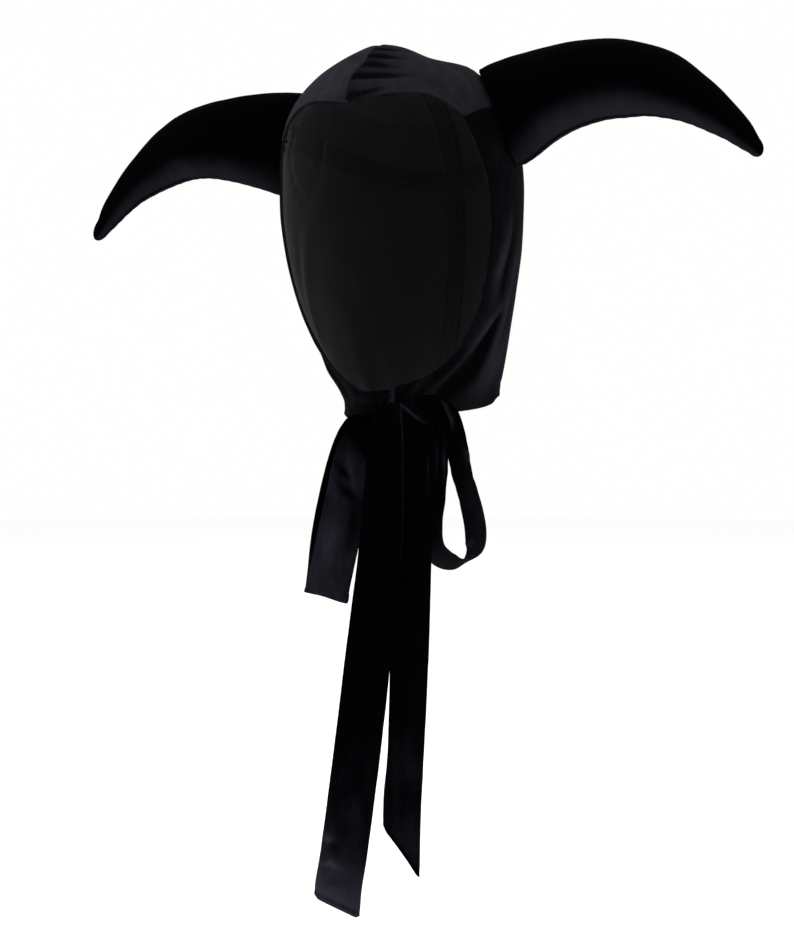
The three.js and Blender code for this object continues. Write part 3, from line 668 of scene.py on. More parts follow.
class ClothGrid:
    """A grid made by the mesh operator and laid where a function puts each of its points."""

    def __init__(self, rows: int, columns: int, place: Placing) -> None:
        """Make the grid and lay it.

        Args:
            rows: Steps from the top edge to the foot edge.
            columns: Steps from the fore edge to the aft edge.
            place: Gives the point for a share down and a share across.
        """
        self.rows, self.columns = rows, columns
        self.mesh = bmesh.new()
        # Painted light and shade of each point, with an uneven tone, which the velvet mixes into its colour.
        self.painted_shading_and_tone = self.mesh.verts.layers.float.new("painted_shading_and_tone")
        self.mesh.loops.layers.uv.new("cloth")
        bmesh.ops.create_grid(self.mesh, x_segments=columns, y_segments=rows, size=0.5)
        self.table: list[list[bmesh.types.BMVert]] = [[None] * (columns + 1) for _ in range(rows + 1)]
        for vert in self.mesh.verts:
            self.table[round((0.5 - vert.co.y) * rows)][round((vert.co.x + 0.5) * columns)] = vert
        for i, line in enumerate(self.table):
            for j, vert in enumerate(line):
                vert.co = place(i / rows, j / columns)
        doubles = bmesh.ops.find_doubles(self.mesh, verts=self.mesh.verts, dist=0.004)["targetmap"]
        self.table = [[doubles.get(vert, vert) for vert in line] for line in self.table]
        bmesh.ops.weld_verts(self.mesh, targetmap=doubles)

    def spots(self) -> Iterator[tuple[bmesh.types.BMVert, Spot]]:
        """Measure the grid as it lies now.

        Yields:
            Each vertex with its spot.
        """
        self.mesh.normal_update()
        across = [running_lengths([vert.co for vert in line]) for line in self.table]
        down = [running_lengths([line[j].co for line in self.table]) for j in range(self.columns + 1)]
        for i, line in enumerate(self.table):
            for j, vert in enumerate(line):
                yield vert, Spot(
                    down=i / self.rows,
                    across=j / self.columns,
                    point=vert.co.copy(),
                    normal=vert.normal.copy(),
                    to_top=down[j][i],
                    to_foot=down[j][-1] - down[j][i],
                    to_fore=across[i][j],
                    to_aft=across[i][-1] - across[i][j],
                )

    def dress(self, lift: Callable[[Spot], float], painted_shading_and_tone: Callable[[Spot], float]) -> None:
        """Lift every point along its normal, and write its painted light and shade.

        Args:
            lift: Gives how far a spot stands out, in millimetres.
            painted_shading_and_tone: Gives 0 for cloth painted black and 1 for cloth painted grey: painted
                light and shade with an uneven tone.
        """
        changes = {vert: (spot.normal * lift(spot), painted_shading_and_tone(spot)) for vert, spot in self.spots()}
        for vert, (step, shade) in changes.items():
            vert.co += step
            vert[self.painted_shading_and_tone] = min(max(shade, 0.0), 1.0)

    def write_lengths(self) -> None:
        """Write a map of the cloth's own lengths, in metres, for patterns that follow the cloth."""
        layer = self.mesh.loops.layers.uv["cloth"]
        places = {vert: (spot.to_fore, spot.to_top) for vert, spot in self.spots()}
        for face in self.mesh.faces:
            for loop in face.loops:
                loop[layer].uv = Vector(places[loop.vert]) * METRES

    def face_outwards(self, centre: Vector) -> None:
        """Turn the faces away from a place inside.

        Args:
            centre: The place, in the grid's millimetres.
        """
        bmesh.ops.recalc_face_normals(self.mesh, faces=self.mesh.faces)
        self.mesh.normal_update()
        middle = self.table[self.rows // 2][self.columns // 2]
        if middle.normal.dot(middle.co - centre) < 0:
            bmesh.ops.reverse_faces(self.mesh, faces=self.mesh.faces)

    def close(self, distance: float = 0.004) -> None:
        """Merge points that lie together, and point every face outwards.

        Args:
            distance: How near such points lie, in millimetres.
        """
        bmesh.ops.remove_doubles(self.mesh, verts=self.mesh.verts, dist=distance)
        bmesh.ops.dissolve_degenerate(self.mesh, edges=self.mesh.edges, dist=distance / 4)
        bmesh.ops.recalc_face_normals(self.mesh, faces=self.mesh.faces)


def linear_rgba(colour: str, alpha: float = 1.0) -> tuple[float, float, float, float]:
    """Turn an sRGB hex colour into linear numbers.

    Args:
        colour: The colour, such as "#2d2a33".
        alpha: The opacity.

    Returns:
        Red, green, blue and alpha.
    """
    channels = [int(colour[i : i + 2], 16) / 255 for i in (1, 3, 5)]
    curve = [c / 12.92 if c <= 0.04045 else ((c + 0.055) / 1.055) ** 2.4 for c in channels]
    return curve[0], curve[1], curve[2], alpha


def add_node(
    tree: bpy.types.NodeTree, kind: str, inputs: dict[str | int, object] | None = None, **settings: object
) -> bpy.types.Node:
    """Add a node with its settings and links.

    Args:
        tree: The node tree.
        kind: The node's type name.
        inputs: Values by input name or number, where a socket is linked and anything else is set.
        settings: Values for the node's own properties.

    Returns:
        The node.
    """
    node = tree.nodes.new(kind)
    for name, value in settings.items():
        setattr(node, name, value)
    for key, value in (inputs or {}).items():
        if isinstance(value, bpy.types.NodeSocket):
            tree.links.new(value, node.inputs[key])
        else:
            node.inputs[key].default_value = value
    return node


@dataclass(frozen=True)
class ClothFinish:
    """What the finishes of cloth share: a pattern between two colours, with the relief that goes with it."""

    name: str
    dark: str
    light: str

    def pattern(self, tree: bpy.types.NodeTree) -> tuple[bpy.types.NodeSocket, bpy.types.NodeSocket]:
        """Add the pattern's nodes, and return its share of the light colour and its height."""
        raise NotImplementedError

    def relief(self) -> dict[str, float]:
        """Return the relief's strength, and its depth in metres."""
        raise NotImplementedError

    def gloss(self) -> dict[str, object]:
        """Return the shader's own numbers."""
        raise NotImplementedError

    def build(self) -> bpy.types.Material:
        """Make the material.

        Returns:
            The material.
        """
        material = bpy.data.materials.new(self.name)
        material.use_nodes = True
        tree = material.node_tree
        tree.nodes.clear()
        share, height = self.pattern(tree)
        tones = {"Factor": share, 6: linear_rgba(self.dark), 7: linear_rgba(self.light)}
        colour = add_node(tree, "ShaderNodeMix", tones, data_type="RGBA")
        relief = add_node(tree, "ShaderNodeBump", {**self.relief(), "Height": height})
        surface = {"Base Color": colour.outputs[2], "IOR": 1.5, "Normal": relief.outputs[0], **self.gloss()}
        shader = add_node(tree, "ShaderNodeBsdfPrincipled", surface)
        add_node(tree, "ShaderNodeOutputMaterial", {"Surface": shader.outputs[0]})
        return material


@dataclass(frozen=True)
class VelvetFinish(ClothFinish):
    """Stretch velvet: knitted polyester pile, cut short and brushed one way.

    It looks black where the pile leans towards the eye, and grey where it is pulled tight or leans away; that
    grey is painted light and that black painted shade, written on each piece.
    """

    sheen: float = 0.05
    brushing: float = 0.25
    tuft_contrast: float = 0.22
    pile_mm: float = 0.55
    brush_mm: float = 7.0

    def pattern(self, tree: bpy.types.NodeTree) -> tuple[bpy.types.NodeSocket, bpy.types.NodeSocket]:
        """Add the brushed patches and the tufts to the painted light and shade that is written on the piece.

        Args:
            tree: The node tree.

        Returns:
            The share of the light colour, and the height of the tufts.
        """
        place = add_node(tree, "ShaderNodeTexCoord").outputs["Object"]
        # The painted light and shade written on the piece.
        painted_shading_and_tone = add_node(tree, "ShaderNodeAttribute", attribute_name="painted_shading_and_tone").outputs["Fac"]
        # Pile that has been brushed: soft patches, longer down the cloth than across it.
        brushed = add_node(tree, "ShaderNodeMapping", {"Vector": place, "Scale": (1.0, 1.0, 0.35)}).outputs[0]
        grain = {"Vector": brushed, "Scale": 1000 / self.brush_mm, "Detail": 3.0, "Roughness": 0.6}
        patches = add_node(tree, "ShaderNodeTexNoise", grain).outputs[0]
        # Single tufts are 0.1 mm apart, too fine to show, so they are drawn at the size given.
        grain = {"Vector": place, "Scale": 1000 / self.pile_mm, "Detail": 2.0, "Roughness": 0.7}
        tufts = add_node(tree, "ShaderNodeTexNoise", grain).outputs[0]
        level = painted_shading_and_tone
        for noise_height, contrast in ((patches, self.brushing), (tufts, self.tuft_contrast)):
            terms = {0: noise_height, 1: contrast, 2: level}
            level = add_node(tree, "ShaderNodeMath", terms, operation="MULTIPLY_ADD").outputs[0]
        limits = {"Value": level, "From Min": 0.3, "From Max": 1.2}
        share = add_node(tree, "ShaderNodeMapRange", limits, interpolation_type="SMOOTHSTEP").outputs[0]
        return share, tufts

    def relief(self) -> dict[str, float]:
        """Return the relief of the tufts."""
        return {"Strength": 0.5, "Distance": 0.00025}

    def gloss(self) -> dict[str, object]:
        """Return a shader with hardly any gloss, whose pile glows a little at its edges."""
        sheen = {"Sheen Weight": self.sheen, "Sheen Roughness": 0.42, "Sheen Tint": linear_rgba("#5a5462")}
        return {"Roughness": 0.92, "Specular IOR Level": 0.006, **sheen}


@dataclass(frozen=True)
class KnitBackFinish(ClothFinish):
    """The back of stretch velvet: a fine matt knit whose ribs run up and down the panel."""

    rib_mm: float = 1.1
    wear_scale: float = 60.0

    def pattern(self, tree: bpy.types.NodeTree) -> tuple[bpy.types.NodeSocket, bpy.types.NodeSocket]:
        """Add the ribs, and the wear that dulls them in places.

        Args:
            tree: The node tree.

        Returns:
            The share of the light colour, and the height of the ribs.
        """
        lengths = add_node(tree, "ShaderNodeUVMap", uv_map="cloth").outputs[0]
        # The ribs of the knit are 0.6 mm apart, too fine to show, so they are drawn wider.
        ribs_to_metre = 1000 / self.rib_mm / 20 * 2 * math.pi
        bands = {"Vector": lengths, "Scale": ribs_to_metre, "Distortion": 1.2, "Detail": 2.0}
        wave = add_node(tree, "ShaderNodeTexWave", bands, wave_type="BANDS", bands_direction="X")
        ribs = wave.outputs["Fac"]
        place = add_node(tree, "ShaderNodeTexCoord").outputs["Object"]
        blotches = {"Vector": place, "Scale": self.wear_scale, "Detail": 4.0}
        wear = add_node(tree, "ShaderNodeTexNoise", blotches).outputs[0]
        terms = {0: wear, 1: 0.7, 2: ribs}
        level = add_node(tree, "ShaderNodeMath", terms, operation="MULTIPLY_ADD").outputs[0]
        limits = {"Value": level, "From Min": 0.2, "From Max": 1.5}
        return add_node(tree, "ShaderNodeMapRange", limits).outputs[0], ribs

    def relief(self) -> dict[str, float]:
        """Return the relief of the ribs."""
        return {"Strength": 0.4, "Distance": 0.0002}

    def gloss(self) -> dict[str, object]:
        """Return a matt shader."""
        return {"Roughness": 0.88, "Specular IOR Level": 0.15, "Sheen Weight": 0.1, "Sheen Roughness": 0.5}


@dataclass(frozen=True)
class PaperFinish:
    """Seamless white studio paper, matt and even."""

    name: str
    colour: str

    def build(self) -> bpy.types.Material:
        """Make the material.

        Returns:
            The material.
        """
        material = bpy.data.materials.new(self.name)
        material.use_nodes = True
        tree = material.node_tree
        tree.nodes.clear()
        place = add_node(tree, "ShaderNodeTexCoord").outputs["Object"]
        grain = add_node(tree, "ShaderNodeTexNoise", {"Vector": place, "Scale": 900.0, "Detail": 3.0})
        bumps = {"Strength": 0.05, "Distance": 0.0002, "Height": grain.outputs[0]}
        relief = add_node(tree, "ShaderNodeBump", bumps)
        surface = {"Base Color": linear_rgba(self.colour), "Roughness": 0.95, "Specular IOR Level": 0.1}
        shader = add_node(tree, "ShaderNodeBsdfPrincipled", {**surface, "Normal": relief.outputs[0]})
        add_node(tree, "ShaderNodeOutputMaterial", {"Surface": shader.outputs[0]})
        return material


class Wardrobe:
    """All the finishes of the hood, each made once."""

    def __init__(self) -> None:
        """Make the materials."""
        # The velvets are one cloth: their colours and sheen differ by part to paint how light or dark each
        # part looks.
        self.crown = VelvetFinish("stretch_velvet_crown", "#050506", "#302e34", sheen=0.08).build()
        self.side = VelvetFinish("stretch_velvet_side", "#030304", "#28262d").build()
        self.horn = VelvetFinish(
            "stretch_velvet_horn", "#010102", "#2c2a31", sheen=0.012, brushing=0.12
        ).build()
        self.tie = VelvetFinish("stretch_velvet_tie", "#010102", "#3a3742", sheen=0.025, brushing=0.2).build()
        self.edge = VelvetFinish("overlocked_edge", "#040405", "#1f1d23").build()
        self.back = KnitBackFinish("velvet_knit_back", "#08080a", "#17161b").build()


def add_object(name: str, data: bpy.types.ID) -> bpy.types.Object:
    """Put a mesh, lamp or camera into the scene.

    Args:
        name: The object's name.
        data: The mesh, lamp or camera.

    Returns:
        The object.
    """
    added = bpy.data.objects.new(name, data)
    bpy.context.scene.collection.objects.link(added)
    return added


def make_piece(
    mesh: bmesh.types.BMesh,
    name: str,
    nodes: Sequence[str],
    materials: Sequence[bpy.types.Material],
) -> bpy.types.Object:
    """Turn a shaped mesh in millimetres into a piece of the hood, in metres.

    Args:
        mesh: The mesh, which is used up.
        name: The piece's name.
        nodes: The part's nodes that the piece stands for, which may be none.
        materials: The piece's materials.

    Returns:
        The piece.
    """
    bmesh.ops.scale(mesh, vec=Vector((METRES, METRES, METRES)), verts=mesh.verts)
    for face in mesh.faces:
        face.smooth = True
    data = bpy.data.meshes.new(name)
    mesh.to_mesh(data)
    mesh.free()
    for material in materials:
        data.materials.append(material)
    piece = add_object(name, data)
    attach(piece, "root")
    if nodes:
        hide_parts(*nodes)
    LOG.info("%s: %d faces before its modifiers", name, len(data.polygons))
    return piece


def give_wall(piece: bpy.types.Object, thickness: float) -> None:
    """Give a sheet its thickness inwards.

    Args:
        piece: The sheet.
        thickness: Thickness in millimetres.
    """
    wall = piece.modifiers.new("wall", "SOLIDIFY")
    wall.thickness = thickness * METRES
    wall.offset = -1.0
    wall.use_even_offset = False
    wall.material_offset = 1
    wall.material_offset_rim = 0


def round_off(piece: bpy.types.Object) -> None:
    """Add a subdivision with one level in the view and in the render.

    Args:
        piece: The piece.
    """
    soft = piece.modifiers.new("soft", "SUBSURF")
    soft.levels = 1
    soft.render_levels = 1


def press_open(offset: float, wave: float) -> float:
    """Shape seam allowances that are pressed open.

    Args:
        offset: Distance across from the seam, in millimetres.
        wave: How far the overlocking's wave has turned, in radians.

    Returns:
        How far they stand off the cloth, with a ridge at the seam and a dent at each overlocked edge.
    """
    return 0.9 * bell(offset, 1.2) - 0.5 * bell(abs(offset) - 6.6, 1.0) * (0.6 + 0.4 * math.cos(wave))


@dataclass
class SewnHood:
    """The hood itself: two crown panels and two side panels, sewn on seams that draw the cloth in."""

    form: HoodForm
    wardrobe: Wardrobe
    seats: dict[Side, list[Vector]]
    knot_place: Matrix
    crown_grid: tuple[int, int] = (66, 96)
    side_grid: tuple[int, int] = (84, 72)
    crown_crowding: float = 0.6
    side_crowding: float = 0.5
    brow_share: float = 0.36
    seam_depth: float = 0.9
    seam_reach: float = 2.2
    hem_mm: float = 9.0
    face_hem_mm: float = 7.0
    seat_margin: float = 14.0
    seat_depth: float = 1.1
    seat_puckers: int = 17
    knot_pleats: int = 13
    knot_pleat_depth: float = 0.9
    allowance_mm: float = 14.0
    allowance_wall: float = 0.7
    middle_clearance: float = 1.5
    edge_steps: int = 420
    edge_inset: float = -0.95

    def crown(self, side: Side) -> bpy.types.Object:
        """Build the crown panel of one side.

        Args:
            side: The wearer's side.

        Returns:
            The piece.
        """

        def place(down: float, across: float) -> Vector:
            """Lay a point of the crown panel on the form, for a share down and a share across."""
            deeper = down + 0.12 * math.sin(math.pi * down) * down
            round_share = crowd_ends(across, self.crown_crowding)
            return self.form.point(side, *self.form.crown_place(deeper, round_share, self.brow_share))

        strain = self._seat_strain(side)

        def lift(spot: Spot) -> float:
            """Draw the cloth in at the seams and turn its edge over the brow, in millimetres at a spot."""
            from_middle = min(spot.to_fore, spot.to_aft)
            seam = self.seam_depth * bell(from_middle, self.seam_reach)
            pucker = 0.2 * bell(from_middle - 2.5, 3.0) * lumps(spot.point, 4.0, 3.0)
            turned = 0.5 * bell(spot.to_foot - 1.2, 1.6) - 0.45 * bell(spot.to_foot - self.hem_mm, 1.1)
            sewn = -self.seam_depth * bell(spot.to_foot, self.seam_reach)
            round_share = crowd_ends(spot.across, self.crown_crowding)
            edge = lerp(turned, sewn, smoothstep(round_share, self.brow_share, self.brow_share + 0.04))
            return edge - seam + pucker + strain(spot.point) + 0.35 * lumps(spot.point, 22.0)

        def painted_shading_and_tone(spot: Spot) -> float:
            """Paint light and shade at a spot: the brow, pulled tight, is painted greyer, with painted shade
            in its gathers, by the seam and at its point.
            """
            x, y, z = spot.point
            # The brow's front is painted greyer: painted light.
            tight = 1.0 - smoothstep(y, -30, 60)
            shade = 0.3 + 0.07 * lumps(spot.point, 30.0, 5.0)
            if side is Side.RIGHT:
                low = smoothstep(-z, 10, 45)
                near_point = bell(x, 8.0) * bell(z + 46.0, 9.0)
                return shade + (0.1 + 0.06 * low - 0.18 * near_point) * tight
            gather = self.form.gather_lift(abs(x - self.form.drift(x, y, z)), z)
            return shade + 0.06 * tight - 0.1 * bell(spot.to_fore, 16.0) * tight + 0.2 * gather

        grid = ClothGrid(*self.crown_grid, place)
        grid.face_outwards(Vector((0, HEAD_AXIS_Y, -60)))
        grid.dress(lift, painted_shading_and_tone)
        grid.write_lengths()
        bmesh.ops.remove_doubles(grid.mesh, verts=grid.mesh.verts, dist=0.02)
        piece = self._sew(grid, "crown", side, self.wardrobe.crown)
        return piece

    def panel(self, side: Side) -> bpy.types.Object:
        """Build the side panel of one side.

        Args:
            side: The wearer's side.

        Returns:
            The piece.
        """

        def find(down: float, across: float) -> tuple[float, float]:
            """Find the angle and row number for a share down and a share across."""
            crowding = self.side_crowding
            return self.form.side_place(side, crowd_ends(down, crowding), crowd_ends(across, crowding))

        strain = self._seat_strain(side)

        def lift(spot: Spot) -> float:
            """Draw the cloth in at the seams and leave the hems a little full, in millimetres at a spot."""
            top = -self.seam_depth * bell(spot.to_top, self.seam_reach) * smoothstep(spot.to_fore, 0, 8)
            back = -self.seam_depth * bell(spot.to_aft, self.seam_reach)
            hem = 0.4 * bell(spot.to_foot - 1.0, 1.6) - 0.4 * bell(spot.to_foot - self.hem_mm, 1.2)
            face = 0.4 * bell(spot.to_fore - 1.0, 1.6) - 0.35 * bell(spot.to_fore - self.face_hem_mm, 1.1)
            edges = top + back + hem + face
            drawn = strain(spot.point) + self._knot_pleats(spot.point)
            return edges + drawn + 0.5 * lumps(spot.point, 26.0, 1.0)

        def painted_shading_and_tone(spot: Spot) -> float:
            """Paint light and shade at a spot: painted highlights on folds and pleats that stand out, and
            painted shade in drawn-in folds, by the face and chin and high up by the horn.
            """
            angle, row = find(spot.down, spot.across)
            _, y, z = spot.point
            fold = self.form.fold_lift(side, abs(angle), self.form.SECTIONS.read("z", row))
            # Painted highlights on folds and pleats that stand out, and painted shade in drawn-in ones.
            lighter = (
                0.15 * fold
                + 0.02 * smoothstep(-z, 150, 215) * smoothstep(y, -10, 30)
                + 0.1 * self._knot_pleats(spot.point)
            )
            # Painted shade by the face edge, high up by the horn and at the chin's front.
            darker = (
                0.08 * (1.0 - smoothstep(spot.to_fore, 0, 16))
                + 0.09 * (1.0 - smoothstep(-z, 85, 135))
                + 0.11 * smoothstep(-z, 185, 212) * (1.0 - smoothstep(y, -48, -8))
            )
            return 0.24 + lighter - darker + 0.08 * lumps(spot.point, 28.0, 9.0)

        grid = ClothGrid(*self.side_grid, lambda down, across: self.form.point(side, *find(down, across)))
        grid.face_outwards(Vector((0, HEAD_AXIS_Y, -120)))
        grid.dress(lift, painted_shading_and_tone)
        grid.write_lengths()
        piece = self._sew(grid, "side", side, self.wardrobe.side)
        return piece

    def _sew(self, grid: ClothGrid, part: str, side: Side, velvet: bpy.types.Material) -> bpy.types.Object:
        """Make a panel of velvet outside and knit back inside.

        Args:
            grid: The panel's outer face.
            part: The part of the hood, crown or side, as its piece and its node are named.
            side: The wearer's side.
            velvet: The finish of the outer face.

        Returns:
            The piece.
        """
        name, node = f"{part}_panel_{side.word}", f"{part}_{side.word}"
        piece = make_piece(grid.mesh, name, [node], [velvet, self.wardrobe.back])
        give_wall(piece, WALL)
        round_off(piece)
        return piece

    def _seat_strain(self, side: Side) -> Callable[[Vector], float]:
        """Prepare the strain along the line where a horn is sewn on.

        Args:
            side: The wearer's side.

        Returns:
            A function that gives the lift at a point.
        """
        seat = self.seats[side]
        centre = sum(seat, Vector()) / len(seat)
        reach = max((point - centre).length for point in seat) + self.seat_margin

        def strain(point: Vector) -> float:
            """Return how far the cloth is drawn in and puckered at a point."""
            if (point - centre).length > reach:
                return 0.0
            gaps = [(point - other).length for other in seat]
            near = min(range(len(gaps)), key=gaps.__getitem__)
            gap = gaps[near]
            pucker = math.cos(2 * math.pi * near / len(seat) * self.seat_puckers)
            return -self.seat_depth * bell(gap, 2.6) + 0.3 * pucker * bell(gap - 4.0, 3.5)

        return strain

    def _knot_pleats(self, point: Vector) -> float:
        """Shape the small pleats that run into the knot.

        Args:
            point: The place in millimetres.

        Returns:
            The lift in millimetres.
        """
        local = self.knot_place.inverted() @ point
        distance = math.hypot(local.x, local.z)
        if distance > 60 or local.y > 30:
            return 0.0
        turn = math.atan2(local.z, local.x)
        window = smoothstep(distance, 6, 14) * (1.0 - smoothstep(distance, 22, 52))
        return self.knot_pleat_depth * math.cos(self.knot_pleats * turn + 0.8 * lumps(point, 20.0)) * window

    def face_edge(self, side: Side) -> bpy.types.Object:
        """Build the overlocked edge of the face opening on one side, from the brow to the knot.

        Args:
            side: The wearer's side.

        Returns:
            The piece.
        """

        def spine(share: float) -> Vector:
            """Return the point at a share of the edge."""
            brow = self.brow_share
            if share < brow:
                angle, z = self.form.face_edge_at(share / brow * self.form.TEMPLE_ROW)
            else:
                angle, z = self.form.side_front(side, (share - brow) / (1 - brow) * self.form.CHIN_SHARE)
            angle += 0.35 * smoothstep(share, brow, 0.45)
            row = self.form.row_at(z + 0.1 * (1 - smoothstep(share, 0.3, 0.45)))
            return self.form.point(side, angle, row, self.edge_inset)

        return self._rope(f"face_edge_{side.word}", spine, radius=0.8, stitch=2.2)

    def neck_edge(self, side: Side) -> bpy.types.Object:
        """Build the overlocked edge of the neck hem on one side, from the knot to the nape.

        Args:
            side: The wearer's side.

        Returns:
            The piece.
        """
        start = self.form.side_front(side, 1.0)[0]

        def spine(share: float) -> Vector:
            """Return the point at a share of the hem."""
            angle = lerp(start, 180.0, share)
            row = self.form.row_at(self.form.hem_z(angle) + 0.4)
            return self.form.point(side, angle, row, self.edge_inset)

        return self._rope(f"neck_edge_{side.word}", spine, radius=0.9, stitch=2.6)

    def _inner_wall(self, across: float, turn: float) -> Vector:
        """Return the point of the hood's inner face in a direction from the middle of the head.

        Args:
            across: The point's x in millimetres.
            turn: Degrees in the middle plane, 0 towards the nape and 90 straight up.

        Returns:
            The point.
        """
        heading = Vector((0, math.cos(math.radians(turn)), math.sin(math.radians(turn))))
        middle = Vector((across, HEAD_AXIS_Y, -75))
        reach = last_where(lambda out: self.form.level(middle + heading * out) < 1.0, 20.0, 190.0, rounds=22)
        point = middle + heading * reach
        side = Side.LEFT if across > 0 else Side.RIGHT
        keel = self.form.brow_lift(side, abs(across), point.y, point.z)
        point += heading * (keel - WALL - self.middle_clearance)
        point.x += self.form.drift(across, point.y, point.z)
        return point

    def middle_seam(self) -> bpy.types.Object:
        """Build the seam allowances inside the middle seam, pressed open from the brow to the nape.

        Returns:
            The piece.
        """
        brow_turn, nape_turn = 157.0, -64.0
        centre = Vector((0, HEAD_AXIS_Y, -75))

        def place(down: float, across: float) -> Vector:
            """Lay a point of the allowances on the inner face, for a share down and a share across."""
            offset = (across - 0.5) * self.allowance_mm
            point = self._inner_wall(offset, lerp(brow_turn, nape_turn, down))
            return point + (centre - point).normalized() * press_open(offset, down * 1200)

        return self._allowances("middle_seam_allowances", 260, place)

    def crown_seam(self, side: Side) -> bpy.types.Object:
        """Build the seam allowances inside the seam between crown and side.

        Args:
            side: The wearer's side.

        Returns:
            The piece.
        """
        strain = self._seat_strain(side)
        start, end = self.form.temple[0] + 4.5, 179.5

        def place(down: float, across: float) -> Vector:
            """Lay a point of the allowances on the inner face, for a share down and a share across."""
            angle = lerp(start, end, down)
            offset = (across - 0.5) * self.allowance_mm
            row = self.form.row_at(self.form.seam_z(angle) - SEAM_GAP / 2 + offset)
            drawn_in = min(strain(self.form.point(side, angle, row)), 0.0)
            inset = drawn_in - WALL - self.allowance_wall - press_open(offset, down * 900)
            return self.form.point(side, angle, row, inset)

        return self._allowances(f"crown_seam_allowances_{side.word}", 220, place)

    def _allowances(self, name: str, steps: int, place: Placing) -> bpy.types.Object:
        """Build a pair of seam allowances as one thin strip.

        Args:
            name: The piece's name.
            steps: Steps along the seam.
            place: Gives the point for a share along the seam and a share across it.

        Returns:
            The piece.
        """
        grid = ClothGrid(steps, 12, place)
        grid.dress(lambda spot: 0.0, lambda spot: 0.1)
        piece = make_piece(grid.mesh, name, [], [self.wardrobe.back])
        give_wall(piece, self.allowance_wall)
        return piece

    def _rope(
        self, name: str, spine: Callable[[float], Vector], radius: float, stitch: float
    ) -> bpy.types.Object:
        """Sweep a round edge with a bump for every stitch.

        Args:
            name: The piece's name.
            spine: Gives a point along the edge for a share of it.
            radius: The edge's radius in millimetres.
            stitch: Distance from stitch to stitch in millimetres.

        Returns:
            The piece.
        """
        steps = self.edge_steps
        points = [spine(i / steps) for i in range(steps + 1)]
        lengths = running_lengths(points)

        def place(down: float, across: float) -> Vector:
            """Lay a point round the edge, for a share along it and a share of the turn."""
            i = round(down * steps)
            along = (points[min(i + 1, steps)] - points[max(i - 1, 0)]).normalized()
            outward = Vector((points[i].x, points[i].y - HEAD_AXIS_Y, 0)).normalized()
            outward = (outward - along * outward.dot(along)).normalized()
            sideways = along.cross(outward)
            turn = 2 * math.pi * across
            end = min(i, steps - i)
            taper = 0.0 if end == 0 else min(1.0, 0.55 + 0.15 * end)
            wave = 1.0 + 0.16 * math.cos(2 * math.pi * lengths[i] / stitch) * (0.6 + 0.4 * math.cos(turn))
            size = radius * wave * taper
            return points[i] + (outward * math.cos(turn) + sideways * math.sin(turn)) * size

        grid = ClothGrid(steps, 10, place)
        grid.dress(lambda spot: 0.0, lambda spot: 0.35 + 0.2 * lumps(spot.point, 6.0))
        grid.close()
        return make_piece(grid.mesh, name, [], [self.wardrobe.edge])


